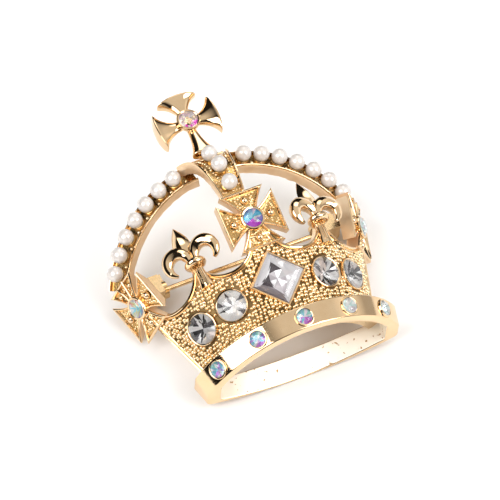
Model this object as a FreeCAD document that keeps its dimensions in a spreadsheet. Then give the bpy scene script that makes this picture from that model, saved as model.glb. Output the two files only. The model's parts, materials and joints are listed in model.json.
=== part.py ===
import FreeCAD, Part

import math
import os

import Sketcher

# Crown brooch, a gilt casting set with chatons and pearls, with a bar pin on its back.
# Crown frame: +X to the wearer's left, +Y up the crown, +Z out of its front, y = 0 at the
# underside of the circlet.  The brooch lies on its back, so every piece then takes one common
# tilt about X that rests it on the rear bar of the circlet and on its side crosses.

DIMENSIONS = (
    # alias, value in mm or degrees, meaning
    ("band_height", 3.4, "height of the circlet"),
    ("band_radius_low", 17.9, "circlet front, outer radius at its underside"),
    ("band_radius_high", 18.8, "circlet front, outer radius at its top edge"),
    ("band_centre", -5.0, "centre of the circlet's front arc"),
    ("band_thickness", 1.4, "thickness of the circlet's front"),
    ("band_corner", 16.0, "half width of the circlet at its underside"),
    ("band_lean", 0.8, "outward lean of the corner over the height"),
    ("band_side_end", 0.3, "where the circlet's flat ends meet the rear bar"),
    ("band_end", 2.2, "thickness of the circlet's ends"),
    ("rear_bar_back", -2.0, "rear of the bowed rear bar at its middle"),
    ("rear_bar_low", 0.4, "thickness of the rear bar at its lower edge"),
    ("rear_bar_high", 1.7, "thickness of the rear bar at its upper edge"),
    ("shoulder", 0.8, "thickness of the shoulder that carries the wall"),
    ("band_stone_proud", 0.15, "girdle of a circlet stone above the band"),
    ("wall_stone_proud", 0.35, "girdle of a wall stone above the wall"),
    ("stone_crown", 0.35, "height of a round stone's crown, as a share of its radius"),
    ("wall_sweep", 150.0, "angle of the wall before its ends are cut"),
    ("scallop_clear", 3.0, "distance of the scallop cutters in front of the wall"),
    ("wall_centre", -6.59, "axis of the wall's cone"),
    ("wall_radius_low", 15.3, "wall outer radius at its foot"),
    ("wall_flare", 0.277, "growth of the wall radius per unit of height"),
    ("wall_top", 18.0, "height of the wall's peaks"),
    ("wall_thickness", 1.1, "thickness of the wall"),
    ("wall_end", 0.3, "plane that ends the wall at both sides"),
    ("inner_scallop_angle", 18.0, "middle of the inner scallops about the cone"),
    ("inner_scallop_height", 18.8, "height of the inner scallops' centres"),
    ("inner_scallop_radius", 4.4, "radius of the inner scallops"),
    ("outer_scallop_angle", 49.5, "middle of the outer scallops about the cone"),
    ("outer_scallop_height", 19.8, "height of the outer scallops' centres"),
    ("outer_scallop_radius", 5.4, "radius of the outer scallops"),
    ("band_stone_radius", 1.25, "radius of the small circlet stones"),
    ("band_stone_step", 24.7, "angle between neighbouring circlet stones"),
    ("cross_stone_radius", 1.5, "radius of the stones on the crosses"),
    ("round_stone_radius", 2.35, "radius of the large round stones"),
    ("square_stone_side", 6.0, "side of the square stone"),
    ("bezel", 0.35, "wall of the collar round a stone"),
    ("seat_depth", 0.8, "depth of a stone's seat below its rim"),
    ("inner_stone_angle", 27.0, "angle of the inner round stones"),
    ("outer_stone_angle", 46.6, "angle of the outer round stones"),
    ("inner_stone_height", 10.1, "height of the inner round stones"),
    ("outer_stone_height", 10.0, "height of the outer round stones"),
    ("square_stone_height", 10.75, "height of the square stone"),
    ("cross_height", 20.4, "height of the centre cross"),
    ("side_cross_height", 19.6, "height of the side crosses"),
    ("side_cross_angle", 68.2, "angle of the side crosses about the cone"),
    ("cross_reach", 4.65, "centre of a cross to the end of an arm"),
    ("cross_arm_end", 3.6, "half width of an arm at its end"),
    ("cross_arm_root", 0.9, "half width of an arm at the centre"),
    ("cross_waist", 0.45, "how far out an arm stays narrow, as a share of its reach"),
    ("cross_thickness", 2.0, "thickness of a cross"),
    ("cross_proud", 0.45, "front of a cross above the wall's cone"),
    ("cross_hub", 0.5, "hub of a cross above its arms"),
    ("fleur_offset", 10.3, "fleur collar, distance from the middle"),
    ("fleur_height", 18.1, "fleur collar, height"),
    ("fleur_front", 10.3, "fleur collar, distance to the front"),
    ("fleur_angle", 24.0, "turn of a fleur about the upright"),
    ("petal_length", 7.4, "length of a fleur's middle petal"),
    ("petal_width", 3.0, "width of a fleur's middle petal"),
    ("lobe_radius", 1.8, "radius of a curled side petal"),
    ("lobe_thickness", 0.75, "half thickness of a side petal"),
    ("lobe_sweep", 245.0, "angle that a side petal curls through"),
    ("lobe_inner", 205.0, "angle at which a side petal leaves the collar"),
    ("lobe_height", 1.15, "centre of a side petal's curl above the collar"),
    ("lobe_stagger", 0.3, "one side petal lies this far behind the other"),
    ("petal_back", 0.2, "middle petal's middle behind the collar"),
    ("petal_lean", 3.0, "backward lean of the middle petal"),
    ("collar_radius", 1.15, "radius of the ring round a fleur's foot"),
    ("collar_bead", 0.62, "half thickness of that ring"),
    ("stem_top", 1.0, "radius of a fleur's stem at the collar"),
    ("stem_foot", 1.3, "radius of a fleur's stem at its foot"),
    ("stem_length", 4.2, "length of a fleur's stem"),
    ("arch_height", 18.5, "centre of the side arches, height"),
    ("arch_front", -5.6, "centre of the side arches, front"),
    ("arch_lean", 36.1, "forward lean of the side arches"),
    ("arch_radius", 20.7, "floor of the side arches' channel"),
    ("arch_thickness", 1.45, "thickness of an arch under its channel"),
    ("arch_width", 3.9, "width of a side arch"),
    ("arch_roll", 40.0, "turn of a side arch's channel towards the front"),
    ("arch_rim", 0.45, "width and height of an arch's rims"),
    ("arch_start", 20.5, "start of a side arch above the horizontal"),
    ("arch_end", 83.0, "end of a side arch above the horizontal"),
    ("pearl_radius", 1.27, "radius of a pearl"),
    ("pearl_cut", 60.0, "latitude of a pearl's flat underside"),
    ("pearl_start", 27.5, "lowest pearl on a side arch"),
    ("pearl_step", 7.77, "angle between pearls on a side arch"),
    ("centre_arch_height", 29.6, "centre of the centre arch, height"),
    ("centre_arch_front", 3.65, "centre of the centre arch, front"),
    ("centre_arch_radius", 7.8, "floor of the centre arch's channel"),
    ("centre_arch_low", 118.0, "lower end of the centre arch"),
    ("centre_arch_high", 16.0, "upper end of the centre arch"),
    ("centre_arch_narrow", 3.6, "width of the centre arch at its foot"),
    ("centre_arch_wide", 7.2, "width of the centre arch at its top"),
    ("centre_pearl_first", 97.5, "lowest pearl on the centre arch"),
    ("centre_pearl_step", 24.2, "angle between pearls on the centre arch"),
    ("top_cross_height", 43.0, "height of the top cross"),
    ("top_cross_front", 7.8, "front distance of the top cross's middle"),
    ("top_cross_reach", 5.0, "centre of the top cross to an arm's end"),
    ("top_cross_foot", 6.0, "centre of the top cross to its lower end"),
    ("top_cross_arm_end", 3.1, "half width of an arm's flared end"),
    ("top_cross_arm_root", 0.8, "half width of an arm at the centre"),
    ("top_cross_neck", 1.9, "half width of the lower arm where it meets the arches"),
    ("top_cross_depth_end", 1.45, "half thickness of an arm's flared end"),
    ("top_cross_depth_root", 0.7, "half thickness of an arm at the centre"),
    ("top_cross_hub", 2.6, "thickness of the top cross's hub"),
    ("pin_height", 23.0, "pin, height"),
    ("pin_front", -3.1, "pin, front distance"),
    ("pin_radius", 0.4, "radius of the pin wire"),
    ("pin_hinge", 14.6, "hinge axis, distance from the middle"),
    ("pin_tip", -16.2, "point of the pin"),
    ("rivet_radius", 0.5, "radius of the hinge rivet"),
    ("running_gap", 0.04, "radial running clearance of the pivots"),
    ("side_gap", 0.12, "gap beside a turning piece"),
    ("eye_radius", 1.25, "radius of the pin's eye"),
    ("eye_width", 1.3, "width of the pin's eye"),
    ("ear_thickness", 0.6, "thickness of a hinge ear"),
    ("housing_radius", 2.05, "outer radius of hinge ears and catch"),
    ("rotor_radius", 1.4, "radius of the catch's rotor"),
    ("catch_near", -13.2, "catch, end nearer the middle"),
    ("catch_far", -15.4, "catch, end nearer the point"),
    ("slot_width", 1.3, "width of the catch's slot"),
    ("lever_width", 0.9, "width of the rotor's lever"),
    ("foot_end", 18.2, "outer ends of the hinge's and catch's feet"),
    ("foot_half", 1.6, "half width of the webs and of the catch's foot"),
    ("foot_thickness", 0.8, "thickness of the feet"),
    ("rivet_head", 0.15, "rivet's end beyond an ear"),
    ("pin_taper", 2.0, "length of the pin's tapered point"),
    ("pin_point", 0.08, "radius of the pin's point"),
    ("lever_reach", 2.6, "end of the rotor's lever from its axis"),
    ("rotor_slot", 0.5, "half width of the rotor's slot and lever"),
    ("foot_front", -0.5, "front face of the hinge's and catch's feet"),
    ("tilt", 8.4, "lean of the crown on the table"),
    ("rest_shift", -22.33, "origin, measured along the table"),
)

doc = FreeCAD.newDocument("crown_brooch")
sheet = doc.addObject("Spreadsheet::Sheet", "Dims")
for row, (alias, value, meaning) in enumerate(DIMENSIONS, 1):
    sheet.set("A%d" % row, meaning)
    sheet.set("B%d" % row, str(value))
    sheet.setAlias("B%d" % row, alias)
doc.recompute()

Vector = FreeCAD.Vector
X_AXIS = Vector(1, 0, 0)
Y_AXIS = Vector(0, 1, 0)
Z_AXIS = Vector(0, 0, 1)
CUT = 30.0  # longer than any cut needs
OVERLAP = 0.4  # how far one piece of a casting is sunk into the next before they are joined
SIDE_PEARLS, CENTRE_PEARLS = 7, 3
LOFT_STEPS = 6  # sections along the centre arch
nodes = []


def dim(alias):
    """A driving dimension, read from the sheet."""
    return float(sheet.get(alias))


def bind(item, **formulas):
    """Tie an object's sizes to the sheet: each formula names aliases of Dims."""
    for name, formula in formulas.items():
        item.setExpression(name, formula)
    return item


def polar(radius, angle):
    """A plane vector of a length and an angle in degrees from the first axis."""
    turn = math.radians(angle)
    return radius * math.cos(turn), radius * math.sin(turn)


def frame_at(origin, x_dir, y_dir):
    """A placement from an origin and two perpendicular directions."""
    x_dir = Vector(x_dir).normalize()
    z_dir = x_dir.cross(y_dir).normalize()
    y_dir = z_dir.cross(x_dir)
    matrix = FreeCAD.Matrix(
        x_dir.x, y_dir.x, z_dir.x, origin.x,
        x_dir.y, y_dir.y, z_dir.y, origin.y,
        x_dir.z, y_dir.z, z_dir.z, origin.z)
    return FreeCAD.Placement(matrix)


def wall_radius(height):
    """Outer radius of the wall's cone at a height."""
    return dim("wall_radius_low") + dim("wall_flare") * (height - dim("band_height"))


def on_cone(angle, height, radius, flare, centre, proud):
    """A frame on a flaring cone: x along the tangent, y up the slope, z out of the surface."""
    turn = math.radians(angle)
    lean = math.atan(flare)
    out = Vector(math.sin(turn), 0, math.cos(turn))
    up = out * math.sin(lean) + Y_AXIS * math.cos(lean)
    tangent = Vector(math.cos(turn), 0, -math.sin(turn))
    normal = tangent.cross(up)
    origin = out * radius + Vector(0, height, centre) + normal * proud
    return frame_at(origin, tangent, up)


def on_wall(angle, height, proud=0.0):
    return on_cone(angle, height, wall_radius(height), dim("wall_flare"), dim("wall_centre"), proud)


def on_band(angle, proud=0.0):
    middle = (dim("band_radius_low") + dim("band_radius_high")) / 2
    flare = (dim("band_radius_high") - dim("band_radius_low")) / dim("band_height")
    return on_cone(angle, dim("band_height") / 2, middle, flare, dim("band_centre"), proud)


def rest_frame():
    """The common tilt, raised so that the rear bar of the circlet meets the table."""
    base = Vector(0, dim("rest_shift"), -dim("rear_bar_back") * math.cos(math.radians(dim("tilt"))))
    return FreeCAD.Placement(base, FreeCAD.Rotation(X_AXIS, dim("tilt")))


REST = rest_frame()


def finish(item, label):
    """Name a sub-part and lay it on the table with the rest of the brooch."""
    item.Label = label
    item.Placement = REST.multiply(item.Placement)
    nodes.append(item)
    return item


def origin_plane(body, role):
    return [item for item in body.Origin.OriginFeatures if item.Role == role][0]


def sketch_on(body, name, role="XY_Plane", offset=None):
    """A sketch on one of the body's own origin planes, moved by an offset."""
    sketch = body.newObject("Sketcher::SketchObject", name)
    sketch.AttachmentSupport = [(origin_plane(body, role), "")]
    sketch.MapMode = "FlatFace"
    if offset is not None:
        sketch.AttachmentOffset = offset
    return sketch


def draw_polygon(sketch, points):
    for first, second in zip(points, points[1:] + points[:1]):
        sketch.addGeometry(Part.LineSegment(Vector(*first, 0), Vector(*second, 0)), False)


def draw_circle(sketch, formula, value):
    """A circle about the sketch's origin, its radius bound to the sheet."""
    index = sketch.addGeometry(Part.Circle(Vector(0, 0, 0), Z_AXIS, value), False)
    sketch.addConstraint(Sketcher.Constraint("Coincident", index, 3, -1, 1))
    radius = sketch.addConstraint(Sketcher.Constraint("Radius", index, value))
    sketch.setExpression("Constraints[%d]" % radius, formula)


def pad(body, sketch, formula, inward=False):
    feature = body.newObject("PartDesign::Pad", sketch.Name + "_pad")
    feature.Profile = sketch
    feature.Reversed = inward
    return bind(feature, Length=formula)


def pocket(body, sketch, formula, outward=False):
    feature = body.newObject("PartDesign::Pocket", sketch.Name + "_pocket")
    feature.Profile = sketch
    feature.Reversed = outward
    return bind(feature, Length=formula)


def setting(body, name, place, radius):
    """A round stone's collar, standing proud of the metal, and the seat inside it."""
    collar = sketch_on(body, name + "_collar", offset=place)
    draw_circle(collar, "Dims.%s + Dims.bezel" % radius, dim(radius) + dim("bezel"))
    pad(body, collar, "Dims.seat_depth + Dims.bezel", inward=True)
    seat = sketch_on(body, name + "_seat", offset=place)
    draw_circle(seat, "Dims.%s" % radius, dim(radius))
    pocket(body, seat, "Dims.seat_depth")


def round_stone(label, radius, place):
    """A chaton: pavilion in the seat, girdle at the rim, cut crown with a flat table."""
    pavilion = doc.addObject("Part::Cone", label + "_pavilion")
    bind(pavilion, Radius1="Dims.%s * 0.35" % radius, Radius2="Dims.%s" % radius,
         Height="Dims.seat_depth")
    pavilion.Placement = place.multiply(FreeCAD.Placement(Vector(0, 0, -dim("seat_depth")),
                                                          FreeCAD.Rotation()))
    crown = doc.addObject("Part::Cone", label + "_crown")
    bind(crown, Radius1="Dims.%s" % radius, Radius2="Dims.%s * 0.55" % radius,
         Height="Dims.%s * Dims.stone_crown" % radius)
    crown.Placement = place
    stone = doc.addObject("Part::Fuse", label)
    stone.Base = pavilion
    stone.Tool = crown
    return finish(stone, label)


def cylinder(label, radius, start, direction, length, length_formula=None):
    """A cylinder from a point along a direction, its radius bound to the sheet."""
    item = doc.addObject("Part::Cylinder", label)
    bind(item, Radius=radius)
    if length_formula:
        bind(item, Height=length_formula)
    else:
        item.Height = length
    side = Y_AXIS if abs(direction.x) > 0.5 else X_AXIS
    item.Placement = frame_at(start, side, Vector(direction).cross(side))
    return item


def box(label, low, high):
    item = doc.addObject("Part::Box", label)
    item.Length, item.Width, item.Height = high.x - low.x, high.y - low.y, high.z - low.z
    item.Placement = FreeCAD.Placement(low, FreeCAD.Rotation())
    return item


def join(kind, label, pieces):
    """A union of all pieces, or the first piece less all the others."""
    whole = doc.addObject("Part::" + kind, label)
    if kind == "MultiFuse":
        whole.Shapes = pieces
        return whole
    whole.Base = pieces[0]
    whole.Tool = pieces[1] if len(pieces) == 2 else join("MultiFuse", label + "_cuts", pieces[1:])
    return whole


def make_copy(source, name):
    """A sub-part's shape in the crown frame, to cut another piece with."""
    doc.recompute()
    copy = doc.addObject("Part::Feature", name)
    shape = source.Shape.copy()
    shape.Placement = REST.inverse().multiply(source.Placement)
    copy.Shape = shape
    return copy


# ---------------------------------------------------------------- circlet
def draw_ring(sketch, radius, corner, side, back):
    """The circlet's D outline: front arc, two flat ends and a bowed rear bar."""
    centre = dim("band_centre")
    shoulder = centre + math.sqrt(radius ** 2 - corner ** 2)
    start = math.atan2(shoulder - centre, corner)
    circle = Part.Circle(Vector(0, centre, 0), Z_AXIS, radius)
    sketch.addGeometry(Part.ArcOfCircle(circle, start, math.pi - start), False)
    left, right = Vector(-corner, side, 0), Vector(corner, side, 0)
    sketch.addGeometry(Part.LineSegment(Vector(-corner, shoulder, 0), left), False)
    sketch.addGeometry(Part.Arc(left, Vector(0, back, 0), right), False)
    sketch.addGeometry(Part.LineSegment(right, Vector(corner, shoulder, 0)), False)


def level(height):
    """An offset that lifts a sketch on the XZ plane, whose normal is -Y."""
    return FreeCAD.Placement(Vector(0, 0, -height), FreeCAD.Rotation())


def make_base_ring():
    body = doc.addObject("PartDesign::Body", "base_ring")
    height = dim("band_height")
    lean = dim("band_lean")
    outlines = []
    for name, raise_by, radius, spread in (
            ("outer_low", 0.0, dim("band_radius_low"), 0.0),
            ("outer_high", height, dim("band_radius_high"), lean)):
        sketch = sketch_on(body, name, "XZ_Plane", level(raise_by))
        draw_ring(sketch, radius, dim("band_corner") + spread, dim("band_side_end"),
                  dim("rear_bar_back"))
        outlines.append(sketch)
    solid = body.newObject("PartDesign::AdditiveLoft", "ring_solid")
    solid.Profile = outlines[0]
    solid.Sections = [outlines[1]]
    solid.Ruled = True
    openings = []
    for name, raise_by, radius, spread, bar in (
            ("inner_low", -OVERLAP, dim("band_radius_low"), 0.0, dim("rear_bar_low")),
            ("inner_high", height + OVERLAP, dim("band_radius_high"), lean, dim("rear_bar_high"))):
        sketch = sketch_on(body, name, "XZ_Plane", level(raise_by))
        draw_ring(sketch, radius - dim("band_thickness"),
                  dim("band_corner") + spread - dim("band_end"),
                  dim("band_side_end") + bar / 2, dim("rear_bar_back") + bar)
        openings.append(sketch)
    hole = body.newObject("PartDesign::SubtractiveLoft", "ring_opening")
    hole.Profile = openings[0]
    hole.Sections = [openings[1]]
    hole.Ruled = True

    # The shoulder bridges the circlet's front and the foot of the wall.
    shoulder = sketch_on(body, "shoulder_outline", "XZ_Plane", level(height))
    outer = dim("band_radius_high") - dim("band_thickness") / 2
    inner = dim("wall_radius_low") - dim("wall_thickness")
    reach = dim("band_corner")
    ends = dim("wall_end")
    front = dim("band_centre") + math.sqrt(outer ** 2 - reach ** 2)
    rear = math.sqrt(inner ** 2 - (ends - dim("wall_centre")) ** 2)
    shoulder.addGeometry(Part.Arc(Vector(-reach, front, 0),
                                  Vector(0, dim("band_centre") + outer, 0),
                                  Vector(reach, front, 0)), False)
    shoulder.addGeometry(Part.LineSegment(Vector(reach, front, 0), Vector(reach, ends, 0)), False)
    shoulder.addGeometry(Part.LineSegment(Vector(reach, ends, 0), Vector(rear, ends, 0)), False)
    shoulder.addGeometry(Part.Arc(Vector(rear, ends, 0),
                                  Vector(0, dim("wall_centre") + inner, 0),
                                  Vector(-rear, ends, 0)), False)
    shoulder.addGeometry(Part.LineSegment(Vector(-rear, ends, 0), Vector(-reach, ends, 0)), False)
    shoulder.addGeometry(Part.LineSegment(Vector(-reach, ends, 0), Vector(-reach, front, 0)), False)
    pad(body, shoulder, "Dims.shoulder")

    for index in range(-2, 3):
        place = on_band(index * dim("band_stone_step"), dim("band_stone_proud"))
        setting(body, "stone_%d" % (index + 3), place, "band_stone_radius")
        round_stone("band_stone_%d" % (index + 3), "band_stone_radius", place)
    finish(body, "base_ring")


# ---------------------------------------------------------------- wall
ROUND_STONES = (("far_left", -1, "outer"), ("left", -1, "inner"),
                ("right", 1, "inner"), ("far_right", 1, "outer"))


def stone_place(side, ring):
    return on_wall(side * dim(ring + "_stone_angle"), dim(ring + "_stone_height"),
                   dim("wall_stone_proud"))


def square_place():
    return on_wall(0, dim("square_stone_height"), dim("wall_stone_proud"))


def make_crown_wall():
    body = doc.addObject("PartDesign::Body", "crown_wall")
    axis = FreeCAD.Placement(Vector(0, dim("wall_centre"), 0), FreeCAD.Rotation())
    section = sketch_on(body, "wall_section", "YZ_Plane", axis)
    low, high = dim("band_height"), dim("wall_top")
    skin = dim("wall_thickness")
    draw_polygon(section, [(low, wall_radius(low)), (high, wall_radius(high)),
                           (high, wall_radius(high) - skin), (low, wall_radius(low) - skin)])
    shell = body.newObject("PartDesign::Revolution", "wall_shell")
    shell.Profile = section
    shell.ReferenceAxis = (section, ["H_Axis"])
    bind(shell, Angle="Dims.wall_sweep")
    shell.Midplane = True

    for side in (-1, 1):
        for ring in ("inner", "outer"):
            angle = side * dim(ring + "_scallop_angle")
            place = on_wall(angle, dim(ring + "_scallop_height"), dim("scallop_clear"))
            name = "%s_scallop_%s" % (ring, "left" if side < 0 else "right")
            sketch = sketch_on(body, name, offset=place)
            radius = "Dims.%s_scallop_radius" % ring
            draw_circle(sketch, radius, dim(ring + "_scallop_radius"))
            pocket(body, sketch, "Dims.wall_thickness + 2 * Dims.scallop_clear")

    ends = sketch_on(body, "wall_ends",
                     offset=FreeCAD.Placement(Vector(0, 0, dim("wall_end")), FreeCAD.Rotation()))
    draw_polygon(ends, [(-CUT, -1.0), (CUT, -1.0), (CUT, CUT), (-CUT, CUT)])
    pocket(body, ends, "Dims.wall_radius_low")

    for name, side, ring in ROUND_STONES:
        setting(body, name, stone_place(side, ring), "round_stone_radius")
    square = sketch_on(body, "square_seat", offset=square_place())
    reach = dim("square_stone_side") / math.sqrt(2)
    draw_polygon(square, [(reach, 0), (0, reach), (-reach, 0), (0, -reach)])
    pocket(body, square, "Dims.seat_depth")
    finish(body, "crown_wall")

    for name, side, ring in ROUND_STONES:
        round_stone("%s_stone" % name, "round_stone_radius", stone_place(side, ring))


def make_square_stone():
    """Square step-cut stone, set as a diamond: a prism in its seat and a bevelled crown."""
    body = doc.addObject("PartDesign::Body", "square_stone")
    sketch = sketch_on(body, "girdle")
    reach = dim("square_stone_side") / math.sqrt(2)
    draw_polygon(sketch, [(reach, 0), (0, reach), (-reach, 0), (0, -reach)])
    pad(body, sketch, "Dims.seat_depth", inward=True)
    crown = sketch_on(body, "crown_outline")
    draw_polygon(crown, [(reach, 0), (0, reach), (-reach, 0), (0, -reach)])
    table = pad(body, crown, "Dims.seat_depth")
    table.TaperAngle = -38
    body.Placement = square_place()
    finish(body, "square_stone")


# ---------------------------------------------------------------- crosses
def make_cross(name, place):
    """A cross pattee: four flared arms round a hub with a stone's seat."""
    body = doc.addObject("PartDesign::Body", name)
    reach, end, root = dim("cross_reach"), dim("cross_arm_end"), dim("cross_arm_root")
    arm = sketch_on(body, "arm")
    waist = reach * dim("cross_waist")
    bend = root + (end - root) * 0.3
    for side in (-1, 1):
        arm.addGeometry(Part.Arc(Vector(side * root, 0, 0), Vector(side * bend, waist, 0),
                                 Vector(side * end, reach, 0)), False)
    arm.addGeometry(Part.LineSegment(Vector(-end, reach, 0), Vector(end, reach, 0)), False)
    arm.addGeometry(Part.LineSegment(Vector(root, 0, 0), Vector(-root, 0, 0)), False)
    first = pad(body, arm, "Dims.cross_thickness", inward=True)
    arms = body.newObject("PartDesign::PolarPattern", "arms")
    arms.Originals = [first]
    arms.Axis = (arm, ["N_Axis"])
    arms.Angle = 360
    arms.Occurrences = 4
    body.Tip = arms
    hub = FreeCAD.Placement(Vector(0, 0, dim("cross_hub")), FreeCAD.Rotation())
    collar = sketch_on(body, "hub", offset=hub)
    draw_circle(collar, "Dims.cross_stone_radius + Dims.bezel",
                dim("cross_stone_radius") + dim("bezel"))
    pad(body, collar, "Dims.cross_thickness + Dims.cross_hub", inward=True)
    seat = sketch_on(body, "seat", offset=hub)
    draw_circle(seat, "Dims.cross_stone_radius", dim("cross_stone_radius"))
    pocket(body, seat, "Dims.seat_depth")
    body.Placement = place
    return body, place.multiply(hub)


CROSSES = (("left", -1), ("centre", 0), ("right", 1))


def make_crosses():
    """The three crosses stand on the wall's peaks; what the wall fills is left out of them."""
    wall = doc.getObject("crown_wall")
    for name, side in CROSSES:
        height = dim("cross_height") if side == 0 else dim("side_cross_height")
        place = on_wall(side * dim("side_cross_angle"), height, dim("cross_proud"))
        body, seat = make_cross("cross_%s_casting" % name, place)
        behind = make_copy(wall, "wall_behind_cross_" + name)
        finish(join("Cut", "cross_" + name, [body, behind]), "cross_" + name)
        round_stone("cross_stone_" + name, "cross_stone_radius", seat)


# ---------------------------------------------------------------- fleurs-de-lis
def make_fleur(side, label):
    """A fleur-de-lis: tall middle petal, two curled side petals, a collar and a stem."""
    turn = side * dim("fleur_angle")
    out = Vector(math.sin(math.radians(turn)), 0, math.cos(math.radians(turn)))
    across = Vector(out.z, 0, -out.x)
    origin = Vector(side * dim("fleur_offset"), dim("fleur_height"), dim("fleur_front"))
    place = frame_at(origin, across, Y_AXIS)
    pieces = []

    petal = doc.addObject("Part::Ellipsoid", label + "_petal")
    bind(petal, Radius1="Dims.lobe_thickness", Radius2="Dims.petal_length / 2",
         Radius3="Dims.petal_width / 2")
    lean = math.radians(dim("petal_lean"))
    upright = frame_at(Vector(0, dim("petal_length") / 2, -dim("petal_back")),
                       Vector(0, math.cos(lean), -math.sin(lean)), X_AXIS)
    petal.Placement = place.multiply(upright)
    pieces.append(petal)

    for lobe_side in (-1, 1):
        lobe = doc.addObject("Part::Torus", "%s_lobe_%d" % (label, lobe_side + 2))
        bind(lobe, Radius1="Dims.lobe_radius", Radius2="Dims.lobe_thickness")
        bind(lobe, Angle3="Dims.lobe_sweep")
        middle = Vector(dim("lobe_radius") + dim("lobe_stagger"), dim("lobe_height"),
                        -dim("lobe_stagger") * lobe_side)
        curl = FreeCAD.Placement(middle,
                                 FreeCAD.Rotation(Z_AXIS, dim("lobe_inner") - dim("lobe_sweep")))
        flip = FreeCAD.Placement(Vector(0, 0, 0), FreeCAD.Rotation(Y_AXIS, 90 - 90 * lobe_side))
        lobe.Placement = place.multiply(flip).multiply(curl)
        pieces.append(lobe)

    collar = doc.addObject("Part::Torus", label + "_collar")
    bind(collar, Radius1="Dims.collar_radius", Radius2="Dims.collar_bead")
    collar.Placement = place.multiply(FreeCAD.Placement(Vector(0, 0, 0),
                                                        FreeCAD.Rotation(X_AXIS, 90)))
    pieces.append(collar)
    stem = doc.addObject("Part::Cone", label + "_stem")
    bind(stem, Radius1="Dims.stem_foot", Radius2="Dims.stem_top", Height="Dims.stem_length")
    foot = Vector(0, -dim("stem_length") / 2, -dim("lobe_stagger"))
    stem.Placement = place.multiply(frame_at(foot, X_AXIS, Z_AXIS.negative()))
    pieces.append(stem)

    whole = join("MultiFuse", label + "_casting", pieces)
    wall = make_copy(doc.getObject("crown_wall"), "wall_behind_" + label)
    finish(join("Cut", label, [whole, wall]), label)


# ---------------------------------------------------------------- arches and pearls
def channel_outline(width):
    """A channel: a strip with a rim along each edge, as (height above the floor, offset)."""
    half, rim, back = width / 2, dim("arch_rim"), -dim("arch_thickness")
    return [(back, -half), (rim, -half), (rim, rim - half), (0, rim - half),
            (0, half - rim), (rim, half - rim), (rim, half), (back, half)]


def pearl_lift():
    """Height of a pearl's centre above the floor that its flat underside lies on."""
    return dim("pearl_radius") * math.sin(math.radians(dim("pearl_cut")))


def draw_rolled_channel(sketch, side):
    """A side arch's section in (radius, offset) axes, rolled forward about its pearls."""
    roll = math.radians(dim("arch_roll"))
    points = []
    for height, offset in channel_outline(dim("arch_width")):
        rise = height - pearl_lift()
        points.append((dim("arch_radius") + pearl_lift() + rise * math.cos(roll) - offset * math.sin(roll),
                       side * (rise * math.sin(roll) + offset * math.cos(roll))))
    draw_polygon(sketch, points)


def arch_place(side):
    """The leaning plane of a side arch: x outward, y up the arch, z across the strip."""
    up = Vector(0, *polar(1.0, dim("arch_lean")))
    return frame_at(Vector(0, dim("arch_height"), dim("arch_front")), X_AXIS * side, up)


def make_pearl(label, place, radius, angle, roll=0.0):
    """A flat-backed pearl on a channel's floor."""
    ball = doc.addObject("Part::Sphere", label)
    bind(ball, Radius="Dims.pearl_radius", Angle1="-Dims.pearl_cut")
    radial = Vector(*polar(1.0, angle), 0)
    tangent = Z_AXIS.cross(radial)
    out = radial * math.cos(math.radians(roll)) + Z_AXIS * math.sin(math.radians(roll))
    ball.Placement = place.multiply(frame_at(radial * (radius + pearl_lift()), tangent, out.cross(tangent)))
    finish(ball, label)


def make_side_arch(side, hand):
    label = "arch_" + hand
    body = doc.addObject("PartDesign::Body", label + "_strip")
    section = sketch_on(body, "channel", "XZ_Plane")
    draw_rolled_channel(section, side)
    strip = body.newObject("PartDesign::Revolution", "strip")
    strip.Profile = section
    strip.ReferenceAxis = (section, ["V_Axis"])
    bind(strip, Angle="Dims.arch_end - Dims.arch_start")
    turn = FreeCAD.Placement(Vector(0, 0, 0), FreeCAD.Rotation(Z_AXIS, dim("arch_start")))
    body.Placement = arch_place(side).multiply(turn)
    neighbours = [make_copy(doc.getObject(name), name + "_at_" + label)
                  for name in ("cross_" + hand, "arch_centre")]
    finish(join("Cut", label, [body] + neighbours), label)
    for index in range(SIDE_PEARLS):
        angle = dim("pearl_start") + index * dim("pearl_step")
        make_pearl("pearl_%s_%d" % (hand, index + 1), arch_place(side), dim("arch_radius"), angle,
                   side * dim("arch_roll"))


def make_centre_arch():
    """The centre arch widens towards the top, so it is lofted through sections on its arc."""
    low, high = dim("centre_arch_low"), dim("centre_arch_high")
    narrow, wide = dim("centre_arch_narrow"), dim("centre_arch_wide")
    wires = []
    for index in range(LOFT_STEPS + 1):
        share = index / LOFT_STEPS
        wires.append(channel_wire(low + (high - low) * share, narrow + (wide - narrow) * share))
    strip = doc.addObject("Part::Feature", "arch_centre")
    strip.Shape = Part.makeLoft(wires, True, False)
    finish(strip, "arch_centre")
    for index in range(CENTRE_PEARLS):
        angle = dim("centre_pearl_first") - index * dim("centre_pearl_step")
        make_pearl("pearl_centre_%d" % (index + 1), centre_arch_place(), dim("centre_arch_radius"),
                   angle)


def centre_arch_place():
    """The upright middle plane: x up the crown, y to the front, z across the strip."""
    origin = Vector(0, dim("centre_arch_height"), dim("centre_arch_front"))
    return frame_at(origin, Y_AXIS, Z_AXIS)


def channel_wire(angle, width):
    """The channel's section at one angle of the centre arch."""
    points = []
    for height, offset in channel_outline(width):
        x, y = polar(dim("centre_arch_radius") + height, angle)
        points.append(centre_arch_place().multVec(Vector(x, y, offset)))
    return Part.makePolygon(points + points[:1])


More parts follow.
